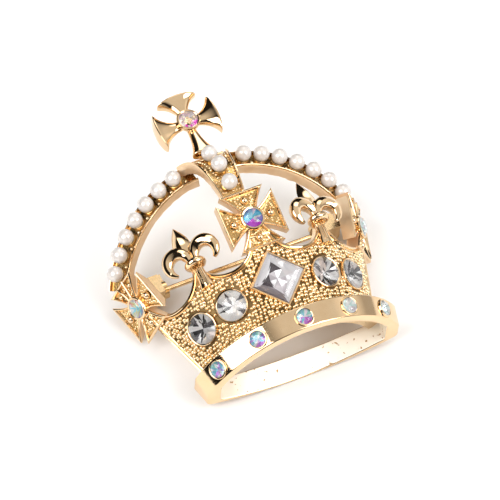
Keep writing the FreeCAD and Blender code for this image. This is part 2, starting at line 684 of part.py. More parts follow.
# ---------------------------------------------------------------- top cross
def make_top_cross():
    """Four flared arms round a stone; the lowest reaches down to the arches."""
    origin = Vector(0, dim("top_cross_height"), dim("top_cross_front"))
    pieces = []
    for index in range(4):
        arm = doc.addObject("Part::Wedge", "top_cross_arm_%d" % (index + 1))
        reach, end = (("top_cross_foot", "top_cross_neck") if index == 2
                      else ("top_cross_reach", "top_cross_arm_end"))
        arm.Ymin = 0
        bind(arm, Ymax="Dims." + reach,
             Xmin="-Dims.top_cross_arm_root", Xmax="Dims.top_cross_arm_root",
             X2min="-Dims." + end, X2max="Dims." + end,
             Zmin="-Dims.top_cross_depth_root", Zmax="Dims.top_cross_depth_root",
             Z2min="-Dims.top_cross_depth_end", Z2max="Dims.top_cross_depth_end")
        arm.Placement = FreeCAD.Placement(origin, FreeCAD.Rotation(Z_AXIS, 90 * index))
        pieces.append(arm)
    front = origin + Vector(0, 0, dim("top_cross_hub") / 2)
    hub = doc.addObject("Part::Cylinder", "top_cross_boss")
    bind(hub, Radius="Dims.cross_stone_radius + Dims.bezel", Height="Dims.top_cross_hub")
    hub.Placement = FreeCAD.Placement(front - Vector(0, 0, dim("top_cross_hub")),
                                      FreeCAD.Rotation())
    whole = join("MultiFuse", "top_cross_casting", pieces + [hub])
    seat = doc.addObject("Part::Cylinder", "top_cross_seat")
    bind(seat, Radius="Dims.cross_stone_radius", Height="Dims.seat_depth")
    seat.Placement = FreeCAD.Placement(front - Vector(0, 0, dim("seat_depth")),
                                       FreeCAD.Rotation())
    arches = [make_copy(doc.getObject(name), name + "_at_cross")
              for name in ("arch_centre", "arch_left", "arch_right")]
    finish(join("Cut", "top_cross", [whole, seat] + arches), "top_cross")
    round_stone("cross_stone_top", "cross_stone_radius",
                FreeCAD.Placement(front, FreeCAD.Rotation()))


# ---------------------------------------------------------------- pin, hinge and catch
def make_hinge():
    """Two ears on a foot behind the right cross, the rivet, and the pin with its eye."""
    height, front, hinge = dim("pin_height"), dim("pin_front"), dim("pin_hinge")
    half_eye = dim("eye_width") / 2 + dim("side_gap")
    ear = dim("ear_thickness")
    web_half, web_front = dim("foot_half"), dim("foot_front") - OVERLAP - front
    rear = dim("foot_front") - dim("foot_thickness")
    foot = box("hinge_foot", Vector(hinge - web_half, height - half_eye - ear, rear),
               Vector(dim("foot_end"), height + half_eye + ear, dim("foot_front")))
    pieces = [foot]
    for side in (-1, 1):
        start = Vector(hinge, height + side * half_eye + min(side, 0) * ear, front)
        disc = cylinder("ear_disc_%d" % (side + 2), "Dims.housing_radius", start, Y_AXIS, ear,
                        "Dims.ear_thickness")
        web = box("ear_web_%d" % (side + 2), start - Vector(web_half, 0, 0),
                  start + Vector(dim("housing_radius"), ear, web_front))
        pieces += [disc, web]
    whole = join("MultiFuse", "hinge_bracket_blank", pieces)
    bore = cylinder("hinge_bore", "Dims.rivet_radius",
                    Vector(hinge, height - CUT / 2, front), Y_AXIS, CUT)
    behind = [make_copy(doc.getObject(name), name + "_at_hinge")
              for name in ("cross_right", "arch_right")]
    finish(join("Cut", "hinge_bracket", [whole, bore] + behind), "hinge_bracket")
    reach = half_eye + ear + dim("rivet_head")
    rivet = cylinder("hinge_rivet", "Dims.rivet_radius",
                     Vector(hinge, height - reach, front), Y_AXIS, 2 * reach)
    finish(rivet, "hinge_rivet")

    eye = cylinder("pin_eye", "Dims.eye_radius",
                   Vector(hinge, height - dim("eye_width") / 2, front), Y_AXIS, 0,
                   "Dims.eye_width")
    wire = cylinder("pin_wire", "Dims.pin_radius", Vector(hinge, height, front),
                    X_AXIS.negative(), 0, "Dims.pin_hinge - Dims.pin_tip - Dims.pin_taper")
    point = doc.addObject("Part::Cone", "pin_point")
    bind(point, Radius1="Dims.pin_radius", Radius2="Dims.pin_point", Height="Dims.pin_taper")
    point.Placement = frame_at(Vector(dim("pin_tip") + dim("pin_taper"), height, front), Y_AXIS,
                               X_AXIS.negative().cross(Y_AXIS))
    blank = join("MultiFuse", "pin_blank", [eye, wire, point])
    bore = cylinder("pin_bore", "Dims.rivet_radius + Dims.running_gap",
                    Vector(hinge, height - CUT / 2, front), Y_AXIS, CUT)
    finish(join("Cut", "pin_stem", [blank, bore]), "pin_stem")


def make_catch():
    """A C-shaped housing on a foot behind the left cross, with a slotted rotor inside it."""
    height, front = dim("pin_height"), dim("pin_front")
    near, far = dim("catch_near"), dim("catch_far")
    slot = dim("slot_width") / 2
    centre = Vector(near, height, front)
    outward = X_AXIS.negative()
    tube = cylinder("catch_tube", "Dims.housing_radius", centre, outward, near - far,
                    "Dims.catch_near - Dims.catch_far")
    half = dim("foot_half")
    rear = dim("foot_front") - dim("foot_thickness")
    web = box("catch_web", Vector(far, height - half, front),
              Vector(near, height + half, dim("foot_front") - OVERLAP))
    foot = box("catch_foot", Vector(-dim("foot_end"), height - half, rear),
               Vector(near, height + half, dim("foot_front")))
    bore = cylinder("catch_bore", "Dims.rotor_radius + Dims.running_gap",
                    centre + Vector(1, 0, 0), outward, near - far + 2)
    mouth = box("catch_mouth", Vector(far - 1, height - slot, front - CUT),
                Vector(near + 1, height + slot, front))
    blank = join("MultiFuse", "catch_blank", [tube, web, foot])
    behind = [make_copy(doc.getObject(name), name + "_at_catch")
              for name in ("cross_left", "arch_left")]
    finish(join("Cut", "catch_housing", [blank, bore, mouth] + behind), "catch_housing")

    lever, groove = dim("lever_width"), dim("rotor_slot")
    drum = cylinder("rotor_drum", "Dims.rotor_radius",
                    centre + Vector(lever + dim("side_gap"), 0, 0), outward,
                    near - far + lever + dim("side_gap"))
    tab = box("rotor_tab", centre + Vector(dim("side_gap"), 0.0, -groove),
              centre + Vector(lever + dim("side_gap"), dim("lever_reach"), groove))
    channel = box("rotor_channel", Vector(far - 1, height - groove, front - 3),
                  Vector(near + 3, height + groove, front + groove))
    blank = join("MultiFuse", "rotor_blank", [drum, tab])
    finish(join("Cut", "catch_rotor", [blank, channel]), "catch_rotor")


make_base_ring()
make_crown_wall()
make_square_stone()
make_crosses()
make_centre_arch()
for side, hand in ((-1, "left"), (1, "right")):
    make_fleur(side, "fleur_" + hand)
    make_side_arch(side, hand)
make_top_cross()
make_hinge()
make_catch()
doc.recompute()

faults = [item.Name for item in doc.Objects if "Invalid" in item.State or "Error" in item.State]
for node in nodes:
    if node.Shape.isNull() or not node.Shape.isValid() or not node.Shape.Solids:
        faults.append(node.Label)
if faults:
    raise RuntimeError("not built: " + ", ".join(faults))

os.makedirs("parts", exist_ok=True)
for node in nodes:
    node.Shape.exportStep("parts/%s.step" % node.Label)
print(len(nodes), "sub-parts written")
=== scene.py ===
import json
import random
from math import acos, asin, atan, ceil, copysign, cos, degrees, hypot, pi, radians, sin, sqrt, tan

import bmesh
import bpy
import numpy as np
from mathutils import Matrix, Vector, noise


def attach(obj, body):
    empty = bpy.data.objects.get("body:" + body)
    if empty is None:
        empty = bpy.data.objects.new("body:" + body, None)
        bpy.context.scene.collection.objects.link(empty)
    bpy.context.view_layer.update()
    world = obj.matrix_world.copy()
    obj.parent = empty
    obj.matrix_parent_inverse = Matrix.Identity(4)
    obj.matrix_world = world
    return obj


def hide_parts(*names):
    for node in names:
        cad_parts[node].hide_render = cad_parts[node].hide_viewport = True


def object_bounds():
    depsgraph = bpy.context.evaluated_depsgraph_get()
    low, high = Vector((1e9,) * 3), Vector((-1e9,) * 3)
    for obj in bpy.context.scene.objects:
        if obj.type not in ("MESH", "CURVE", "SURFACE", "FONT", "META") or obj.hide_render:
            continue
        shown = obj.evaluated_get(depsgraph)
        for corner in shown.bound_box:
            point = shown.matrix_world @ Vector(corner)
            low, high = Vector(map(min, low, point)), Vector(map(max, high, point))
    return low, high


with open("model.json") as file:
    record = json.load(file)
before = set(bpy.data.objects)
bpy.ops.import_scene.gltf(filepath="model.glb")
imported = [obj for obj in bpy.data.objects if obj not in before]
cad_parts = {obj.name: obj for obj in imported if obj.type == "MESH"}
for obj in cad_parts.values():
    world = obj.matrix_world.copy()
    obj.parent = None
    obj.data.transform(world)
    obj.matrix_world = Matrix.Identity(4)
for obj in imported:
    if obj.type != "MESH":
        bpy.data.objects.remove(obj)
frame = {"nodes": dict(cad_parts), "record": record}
cad_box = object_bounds()

# Everything is modelled in the crown's own frame, in millimetres: +X to the wearer's left, +Y up the
# crown from the underside of the circlet, +Z out of its front.  REST lays it on the table.
MM = 0.001
BASE_FRONT = 12.2  # the circlet_base mount lies this far in front of the crown's origin
mount = [item for item in frame["record"]["mounts"] if item["name"] == "circlet_base"][0]
UP = -Vector(mount["axis"])
FRONT = Vector((1, 0, 0)).cross(UP)
ORIGIN = Vector(mount["pos_m"]) - FRONT * BASE_FRONT * MM
REST = Matrix((
    (MM, UP.x * MM, FRONT.x * MM, ORIGIN.x),
    (0, UP.y * MM, FRONT.y * MM, ORIGIN.y),
    (0, UP.z * MM, FRONT.z * MM, ORIGIN.z),
    (0, 0, 0, 1)))
scene = bpy.context.scene
CHANCE = random.Random(11)
FACE, GROUND, BACK, BEADS, SIDE = range(5)  # material slots of a casting
SHOULDER, INSIDE = 1, 2  # the circlet's own
GLASS, FOIL = 0, 1  # a stone's

# Driving dimensions, as in the design.
BAND_HEIGHT, BAND_LOW, BAND_HIGH, BAND_CENTRE = 3.4, 17.9, 18.8, -5.0
BAND_CORNER, BAND_LEAN, BAND_THICK, BAND_END = 16.0, 0.8, 1.4, 2.2
BAND_SIDE, BAR_BACK, BAR_LOW, BAR_HIGH = 0.3, -2.0, 0.4, 1.7
BAND_STONE, BAND_STEP = 1.25, 24.7
WALL_CENTRE, WALL_LOW, WALL_FLARE, WALL_TOP, WALL_THICK, WALL_END = -6.59, 15.3, 0.277, 18.0, 1.1, 0.3
WALL_LEAN = cos(atan(WALL_FLARE))
INNER_SCALLOP, OUTER_SCALLOP = (18.0, 18.8, 4.4), (49.5, 19.8, 5.4)  # angle, height, radius
ROUND_STONE, STONE_PROUD = 2.35, 0.35
STONES = {"far_left": (-46.6, 10.0), "left": (-27.0, 10.1), "right": (27.0, 10.1), "far_right": (46.6, 10.0)}
SQUARE_SIDE, SQUARE_HEIGHT = 6.0, 10.75
CROSS_STONE = 1.5
CROSS_REACH, CROSS_END, CROSS_ROOT, CROSS_THICK, CROSS_PROUD = 4.65, 3.6, 0.9, 2.0, 0.38
CROSSES = {"left": (-68.2, 19.6), "centre": (0.0, 20.4), "right": (68.2, 19.6)}
FLEUR_OFFSET, FLEUR_HEIGHT, FLEUR_FRONT, FLEUR_TURN = 10.3, 18.1, 10.3, 24.0
ARCH_HEIGHT, ARCH_FRONT, ARCH_LEAN, ARCH_FLOOR = 18.5, -5.6, 36.1, 20.7
ARCH_START, ARCH_END, ARCH_WIDTH, ARCH_BACK, ARCH_RIM, ARCH_ROLL = 20.5, 83.0, 3.9, 1.45, 0.45, 40.0
PEARL, PEARL_START, PEARL_STEP = 1.27, 27.5, 7.77
PEARL_LIFT = PEARL * sin(radians(60))
FAR_SHARE = 0.70  # the far half of a side arch is this much of the near half's width
CENTRE_HEIGHT, CENTRE_FRONT, CENTRE_FLOOR = 29.6, 3.65, 7.8
CENTRE_LOW, CENTRE_TOP, CENTRE_NARROW, CENTRE_WIDE = 118.0, 16.0, 3.6, 7.2
CENTRE_PEARL, CENTRE_STEP = 97.5, 24.2
TOP_HEIGHT, TOP_FRONT, TOP_REACH, TOP_FOOT, TOP_HUB = 43.0, 7.8, 5.0, 6.0, 2.6


# ---------- places and shapes
def unit(vector):
    return np.asarray(vector, float) / np.linalg.norm(vector)


def round_turns(count):
    """Equal turns round a full circle, in radians."""
    return np.linspace(0, 2 * pi, count, endpoint=False)


def new_object(name, data):
    """A new object in the scene."""
    item = bpy.data.objects.new(name, data)
    scene.collection.objects.link(item)
    return item


class Place:
    """A frame in the crown: an origin and three perpendicular directions."""

    def __init__(self, origin, x_dir, y_dir):
        x_dir = unit(x_dir)
        z_dir = unit(np.cross(x_dir, y_dir))
        self.origin = np.asarray(origin, float)
        self.axes = np.array([x_dir, np.cross(z_dir, x_dir), z_dir])

    def at(self, points):
        return self.origin + np.asarray(points, float) @ self.axes

    def moved(self, x, y, z):
        return Place(self.at((x, y, z)), self.axes[0], self.axes[1])

    def turned(self, angle):
        """Turned about its own z axis."""
        c, s = cos(radians(angle)), sin(radians(angle))
        return Place(self.origin, c * self.axes[0] + s * self.axes[1],
                     c * self.axes[1] - s * self.axes[0])


def wall_radius(height):
    return WALL_LOW + WALL_FLARE * (height - BAND_HEIGHT)


def on_cone(angle, height, radius, flare, centre, proud):
    """A place on a flaring cone: x along the tangent, y up the slope, z out of the surface."""
    turn, lean = radians(angle), atan(flare)
    out = np.array((sin(turn), 0, cos(turn)))
    up = out * sin(lean) + np.array((0, cos(lean), 0))
    tangent = np.array((cos(turn), 0, -sin(turn)))
    place = Place(out * radius + np.array((0, height, centre)), tangent, up)
    return place.moved(0, 0, proud)


def on_wall(angle, height, proud=0.0):
    return on_cone(angle, height, wall_radius(height), WALL_FLARE, WALL_CENTRE, proud)


def on_band(angle, proud=0.0):
    flare = (BAND_HIGH - BAND_LOW) / BAND_HEIGHT
    return on_cone(angle, BAND_HEIGHT / 2, (BAND_LOW + BAND_HIGH) / 2, flare, BAND_CENTRE, proud)


class Shape:
    """Points and faces of one piece, each face with the number of its material."""

    def __init__(self):
        self.points, self.faces, self.slots, self.total = [], [], [], 0

    def add(self, points, faces, slot=FACE):
        points = np.asarray(points, float).reshape(-1, 3)
        self.points.append(points)
        self.faces += [tuple(index + self.total for index in face) for face in faces]
        self.slots += [slot] * len(faces)
        self.total += len(points)


def grid_faces(rows, columns, wrap=False):
    return [(i * columns + j, i * columns + (j + 1) % columns,
             (i + 1) * columns + (j + 1) % columns, (i + 1) * columns + j)
            for i in range(rows - 1) for j in range(columns if wrap else columns - 1)]


def tube(shape, loops, slot=FACE, closed=False):
    """Loops of equal length joined along a path, with flat ends unless the path is closed."""
    loops = np.asarray(loops, float)
    rows, columns = loops.shape[:2]
    faces = grid_faces(rows, columns, wrap=True)
    last = (rows - 1) * columns
    if closed:
        faces += [(last + j, last + (j + 1) % columns, (j + 1) % columns, j) for j in range(columns)]
    else:
        faces += [tuple(range(columns))[::-1], tuple(last + j for j in range(columns))]
    shape.add(loops, faces, slot)


def lathe(shape, place, profile, slot=FACE, segments=40):
    """A profile of (radius, height) points turned about the place's z axis, closed on itself."""
    turns = round_turns(segments)
    loops = [[(r * cos(t), r * sin(t), z) for r, z in profile] for t in turns]
    tube(shape, place.at(loops), slot, closed=True)


def dome_points(segments, rings):
    points = [(0.0, 0.0, 1.0)]
    for ring in range(1, rings + 1):
        tilt = 0.5 * pi * ring / rings
        points += [(sin(tilt) * cos(2 * pi * k / segments),
                    sin(tilt) * sin(2 * pi * k / segments), cos(tilt))
                   for k in range(segments)]
    return np.array(points)


def dome_faces(segments, rings):
    faces = [(0, 1 + k, 1 + (k + 1) % segments) for k in range(segments)]
    for ring in range(rings - 1):
        base = 1 + ring * segments
        faces += [(base + k, base + segments + k, base + segments + (k + 1) % segments,
                   base + (k + 1) % segments) for k in range(segments)]
    faces.append(tuple(1 + (rings - 1) * segments + k for k in range(segments))[::-1])
    return faces


def bead(shape, place, radius, slot=FACE, segments=8, rings=3, height=1.0):
    """A cast granule: a dome that grows out of the surface at the place."""
    points = dome_points(segments, rings) * (radius, radius, radius * height)
    shape.add(place.at(points), dome_faces(segments, rings), slot)


def build(name, shape, materials, replaces, sharp=35):
    """Turn a shape into an object in the row frame that stands for its CAD nodes."""
    mesh = bpy.data.meshes.new(name)
    mesh.from_pydata(np.concatenate(shape.points).tolist(), [], shape.faces)
    mesh.polygons.foreach_set("material_index", shape.slots)
    mesh.transform(REST)
    edit = bmesh.new()
    edit.from_mesh(mesh)
    bmesh.ops.recalc_face_normals(edit, faces=edit.faces)
    edit.to_mesh(mesh)
    edit.free()
    mesh.polygons.foreach_set("use_smooth", [sharp > 0] * len(mesh.polygons))
    if sharp > 0:
        mesh.set_sharp_from_angle(angle=radians(sharp))
    for item in materials:
        mesh.materials.append(item)
    piece = new_object(name, mesh)
    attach(piece, "crown")
    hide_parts(*replaces)
    return piece


# ---------- materials
def new_material(name, **sockets):
    """A Principled material with constant sockets; returns its tree and shader too."""
    item = bpy.data.materials.new(name)
    item.use_nodes = True
    shader = item.node_tree.nodes["Principled BSDF"]
    for socket, value in sockets.items():
        shader.inputs[socket.replace("_", " ")].default_value = value
    return item, item.node_tree, shader


def grain(tree, scale, detail=3.0, stretch=(1, 1, 1)):
    """Noise in the piece's own coordinates; the scale is in cells per millimetre."""
    coordinates = tree.nodes.new("ShaderNodeTexCoord")
    mapping = tree.nodes.new("ShaderNodeMapping")
    mapping.inputs["Scale"].default_value = [scale / MM * share for share in stretch]
    tree.links.new(coordinates.outputs["Object"], mapping.inputs["Vector"])
    texture = tree.nodes.new("ShaderNodeTexNoise")
    texture.inputs["Scale"].default_value = 1.0
    texture.inputs["Detail"].default_value = detail
    tree.links.new(mapping.outputs["Vector"], texture.inputs["Vector"])
    return texture.outputs["Fac"]


def link(source, shader, socket):
    shader.id_data.links.new(source, shader.inputs[socket])


def span(tree, source, low, high, start=0.3, end=0.7):
    """A value that runs from low to high as the source runs from start to end."""
    node = tree.nodes.new("ShaderNodeMapRange")
    for socket, value in zip(("From Min", "From Max", "To Min", "To Max"), (start, end, low, high)):
        node.inputs[socket].default_value = value
    tree.links.new(source, node.inputs["Value"])
    return node.outputs["Result"]


def tint(tree, factor, first, second):
    node = tree.nodes.new("ShaderNodeMix")
    node.data_type = "RGBA"
    node.inputs[6].default_value = (*first, 1)
    node.inputs[7].default_value = (*second, 1)
    tree.links.new(factor, node.inputs[0])
    return node.outputs[2]


def polish(tree, shader, source, smooth, rough):
    """Roughness that follows a source."""
    link(span(tree, source, smooth, rough), shader, "Roughness")


def rough_bump(tree, shader, source, strength, depth):
    node = tree.nodes.new("ShaderNodeBump")
    node.inputs["Strength"].default_value = strength
    node.inputs["Distance"].default_value = depth * MM
    tree.links.new(source, node.inputs["Height"])
    link(node.outputs["Normal"], shader, "Normal")


def gilt(name, light, deep, smooth, rough, cells, bump, stretch=(1, 1, 1), metallic=1.0):
    """Gold plate: colour and polish drift a little, over a fine cast or drawn texture."""
    item, tree, shader = new_material(name, Metallic=metallic)
    drift = grain(tree, 0.45, 2.0)
    link(tint(tree, span(tree, drift, 0, 1), light, deep), shader, "Base Color")
    fine = grain(tree, cells, 4.0, stretch)
    polish(tree, shader, fine, smooth, rough)
    rough_bump(tree, shader, fine, bump, 0.02)
    return item


POLISHED = gilt("polished_gilt", (0.85, 0.625, 0.385), (0.81, 0.575, 0.335), 0.04, 0.10, 5.0, 0.10)
GRANULE = gilt("granule_gilt", (0.90, 0.73, 0.48), (0.84, 0.64, 0.38), 0.04, 0.11, 7.0, 0.08)
# The wall's ground between the granules, painted near-black: painted shade in the crevices.
CREVICE_SHADE = gilt("crevice_painted_shade_gilt", (0.17, 0.105, 0.045), (0.08, 0.05, 0.02), 0.28, 0.45, 6.0, 0.8)
# Deeper orange ground of the crosses, arches and pearl cups: painted shade in their recesses.
RECESS_SHADE = gilt("recess_painted_shade_gilt", (0.66, 0.42, 0.17), (0.46, 0.27, 0.09), 0.14, 0.32, 6.0, 0.8)
CAST = gilt("cast_gilt", (0.87, 0.67, 0.44), (0.82, 0.59, 0.35), 0.07, 0.20, 3.0, 0.22)
SATIN = gilt("satin_gilt", (0.90, 0.68, 0.45), (0.84, 0.58, 0.34), 0.30, 0.42, 2.0, 0.20, metallic=0.62)
WIRE = gilt("pin_wire_gilt", (0.86, 0.62, 0.36), (0.82, 0.57, 0.30), 0.14, 0.26, 9.0, 0.3, (0.1, 1, 1))
CATCH = gilt("catch_gilt", (0.86, 0.63, 0.36), (0.80, 0.56, 0.29), 0.12, 0.26, 8.0, 0.3, (1, 0.2, 1))


def make_pearl_material():
    item, tree, shader = new_material(
        "pearl_nacre", Coat_Weight=1.0, Coat_Roughness=0.05, Coat_IOR=1.9, Subsurface_Weight=0.12,
        Subsurface_Scale=0.6 * MM, Subsurface_Radius=(1.0, 0.8, 0.6), IOR=1.6)
    cloud = grain(tree, 0.8, 3.0)
    link(tint(tree, span(tree, cloud, 0, 1), (0.72, 0.675, 0.64), (0.63, 0.575, 0.535)), shader, "Base Color")
    polish(tree, shader, cloud, 0.26, 0.36)
    rough_bump(tree, shader, grain(tree, 6.0, 3.0), 0.08, 0.01)
    return item


def make_gem_materials(name, weight):
    """Clear crystal over a foil back: the foil's facets carry their own tints, painted glints and painted
    dark reflections among them.
    """
    glass, tree, shader = new_material(
        name + "_glass", Transmission_Weight=1.0, IOR=1.58, Base_Color=(0.97, 0.97, 0.98, 1))
    polish(tree, shader, grain(tree, 1.5), 0.0, 0.03)
    foil, tree, shader = new_material(name + "_foil", Metallic=weight)
    facet = tree.nodes.new("ShaderNodeAttribute")
    facet.attribute_name = "facet"
    link(facet.outputs["Color"], shader, "Base Color")
    polish(tree, shader, grain(tree, 2.0), 0.02, 0.10)
    return glass, foil


def make_pitted():
    """The inside of the circlet, its gold made near-white as a painted highlight, with small brown pits."""
    item, tree, shader = new_material("pitted_painted_highlight_gilt", Metallic=0.55)
    pits = span(tree, grain(tree, 1.3, 6.0), 0, 1, 0.635, 0.675)
    link(tint(tree, pits, (1.0, 0.95, 0.85), (0.42, 0.24, 0.09)), shader, "Base Color")
    polish(tree, shader, grain(tree, 2.0), 0.34, 0.46)
    rough_bump(tree, shader, pits, 0.5, 0.03)
    return item


PITTED_HIGHLIGHT = make_pitted()
PEARL_NACRE = make_pearl_material()
CLEAR = make_gem_materials("clear_crystal", 0.25)
SMOKY = make_gem_materials("smoky_crystal", 0.30)
AURORA = make_gem_materials("aurora_crystal", 0.40)


# ---------- circlet
def arc(centre, radius, start, end, count):
    turns = np.radians(np.linspace(start, end, count))
    return np.column_stack((centre[0] + radius * np.cos(turns), centre[1] + radius * np.sin(turns)))


def fillet(before, corner, after, radius, count=7):
    """Points that round a corner between two straight directions."""
    corner = np.asarray(corner, float)
    first, second = unit(np.subtract(before, corner)), unit(np.subtract(after, corner))
    half = acos(max(-1.0, min(1.0, float(first @ second)))) / 2
    reach = radius / tan(half)
    start, end = corner + first * reach, corner + second * reach
    shares = np.linspace(0, 1, count)[:, None]
    return (1 - shares) ** 2 * start + 2 * shares * (1 - shares) * corner + shares ** 2 * end


def circlet_outline(radius, corner, side, back, round_by):
    """The D outline seen from above: front arc, rounded ends and a bowed rear bar."""
    front = BAND_CENTRE + sqrt(radius ** 2 - corner ** 2)
    spread = degrees(asin(corner / radius))
    face = arc((0, BAND_CENTRE), radius, 90 - spread, 90 + spread, 231)[6:-6]
    bow = (corner ** 2 + (side - back) ** 2) / (2 * (side - back))
    bend = degrees(asin(corner / bow))
    bar = arc((0, back + bow), bow, 270 - bend, 270 + bend, 91)[3:-3]
    left = (face[-1], (-corner, front), (-corner, side), bar[0])
    right = (bar[-1], (corner, side), (corner, front), face[0])
    left_end, right_end = [np.concatenate([fillet(*line[k:k + 3], round_by) for k in (0, 1)])
                           for line in (left, right)]
    return np.concatenate((face, left_end, bar, right_end))


def ring_section(round_a, round_b):
    """The circlet's section as (share inward, share upward), its four edges rounded."""
    corners = ((0, 0, 180), (0, 1, 90), (1, 1, 0), (1, 0, -90))
    section = []
    for a, b, start in corners:
        centre = (round_a if a == 0 else 1 - round_a, round_b if b == 0 else 1 - round_b)
        for step in range(5):
            turn = radians(start + 90 - 22.5 * step)
            section.append((centre[0] + round_a * cos(turn), centre[1] + round_b * sin(turn)))
    return section


INSIDE_SHARE = 0.98  # the circlet's section counts as its inside from this share inward


def make_circlet():
    shape = Shape()
    low = circlet_outline(BAND_LOW, BAND_CORNER, BAND_SIDE, BAR_BACK, 0.7)
    high = circlet_outline(BAND_HIGH, BAND_CORNER + BAND_LEAN, BAND_SIDE, BAR_BACK, 0.7)
    inner_low, inner_high = [
        circlet_outline(radius - BAND_THICK, corner - BAND_END, BAND_SIDE + bar / 2, BAR_BACK + bar, 0.5)
        for radius, corner, bar in ((BAND_LOW, BAND_CORNER, BAR_LOW),
                                    (BAND_HIGH, BAND_CORNER + BAND_LEAN, BAR_HIGH))]
    section = ring_section(0.14, 0.055)
    inside = [(1.0, share) for share in np.linspace(0.93, 0.07, 15)]
    face = [(0.0, share) for share in np.linspace(0.1, 0.9, 17)]
    section = section[:5] + face + section[5:15] + inside + section[15:]
    rows = []
    for a, b in section:
        outer = low + (high - low) * b
        within = inner_low + (inner_high - inner_low) * b
        flat = outer + (within - outer) * a
        row = np.column_stack((flat[:, 0], np.full(len(flat), b * BAND_HEIGHT), flat[:, 1]))
        if a > INSIDE_SHARE:
            away = unit_rows(within - outer)
            for point, (across, along) in zip(row, away):
                lump = noise.noise(Vector(point * 1.6)) * 0.05 + noise.noise(Vector(point * 5.0)) * 0.03
                bare = 0.10 if point[2] < 1.2 and point[0] < 9.5 else 1.0
                point += np.array((across, 0, along)) * min(0.0, lump - 0.02) * bare
        rows.append(row)
    rows = np.array(rows)
    for index in range(-2, 3):
        sink(rows, on_band(index * BAND_STEP), BAND_STONE, 0.8)
    tube(shape, rows, closed=True)
    columns = rows.shape[1]
    rough = [index for index, (a, b) in enumerate(section) if a > INSIDE_SHARE]
    for row in rough:
        if row + 1 in rough:
            shape.slots[row * columns:(row + 1) * columns] = [INSIDE] * columns
    make_shoulder(shape)
    for index in range(-2, 3):
        collar(shape, on_band(index * BAND_STEP, 0.15), BAND_STONE, 0.28, 0.5)
    build("circlet_casting", shape, (POLISHED, CAST, PITTED_HIGHLIGHT), ["base_ring"])


def sink(points, place, radius, depth, square=False):
    """Press a flat-bottomed pit for a stone into a surface's points."""
    across = (points - place.origin) @ place.axes.T
    if square:
        distance = (abs(across[..., 0]) + abs(across[..., 1])) / sqrt(2)
    else:
        distance = np.hypot(across[..., 0], across[..., 1])
    share = np.clip((radius - distance) / 0.2 + 0.5, 0, 1) * (abs(across[..., 2]) < 0.8)
    points -= place.axes[2] * (share * depth)[..., None]


def unit_rows(rows):
    return rows / np.linalg.norm(rows, axis=1, keepdims=True)


SHOULDER_REACH = 61.0  # degrees to each side, at the foot of the wall
# The shoulder's section: share of the way in to the wall, height.
COVE = ((0.0, 2.6), (0.0, 3.25), (0.3, 3.3), (0.55, 3.42), (0.78, 3.7), (0.85, 4.1), (1.0, 4.1), (1.0, 2.6))


def make_shoulder(shape):
    """The cove between the circlet's top edge and the foot of the wall."""
    outer, inner = BAND_HIGH - BAND_THICK / 2, WALL_LOW - WALL_THICK
    reach = degrees(asin(BAND_CORNER / outer))
    loops = []
    for share in np.linspace(-1, 1, 81):
        turn = radians(share * reach)
        far = np.array((outer * sin(turn), BAND_CENTRE + outer * cos(turn)))
        turn = radians(share * SHOULDER_REACH)
        near = np.array((inner * sin(turn), WALL_CENTRE + inner * cos(turn)))
        loops.append([(*(far + (near - far) * a), y) for a, y in COVE])
    loops = np.array(loops)[:, :, [0, 2, 1]]
    tube(shape, loops, SHOULDER)


def collar(shape, place, radius, width, foot):
    """The polished collar that is turned over a round stone's girdle."""
    lip = 0.12
    profile = [(radius + width, -foot), (radius + width, -0.05), (radius + width * 0.85, lip * 0.7),
               (radius + width * 0.5, lip), (radius + width * 0.12, lip * 0.8), (radius - 0.05, 0.02),
               (radius - 0.05, -foot)]
    lathe(shape, place, profile)


# ---------- wall
def wall_edge():
    """The wall's scalloped top edge as (angle, height) points from the left side to the right."""
    edge = [(-side_angle(WALL_TOP), WALL_TOP)]
    for side, (angle, height, radius) in ((-1, OUTER_SCALLOP), (-1, INNER_SCALLOP),
                                          (1, INNER_SCALLOP), (1, OUTER_SCALLOP)):
        for turn in np.radians(np.linspace(180, 360, 61)):
            level = height + radius * sin(turn) * WALL_LEAN
            if level <= WALL_TOP:
                swing = asin(radius * cos(turn) / wall_radius(level))
                edge.append((side * angle + degrees(swing), level))
    edge.append((side_angle(WALL_TOP), WALL_TOP))
    fine = edge[:1]
    for (angle, height), (next_angle, next_height) in zip(edge, edge[1:]):
        gap = hypot(radians(next_angle - angle) * wall_radius(height), next_height - height)
        steps = max(1, ceil(gap / 0.25))
        fine += [(angle + (next_angle - angle) * k / steps, height + (next_height - height) * k / steps)
                 for k in range(1, steps + 1)]
    return fine


def side_angle(height):
    """Where the wall's flat sides cut the cone at a height."""
    return degrees(acos((WALL_END - WALL_CENTRE) / wall_radius(height)))


PIT_DEPTH = 0.95  # the ground is sunk this far under a stone


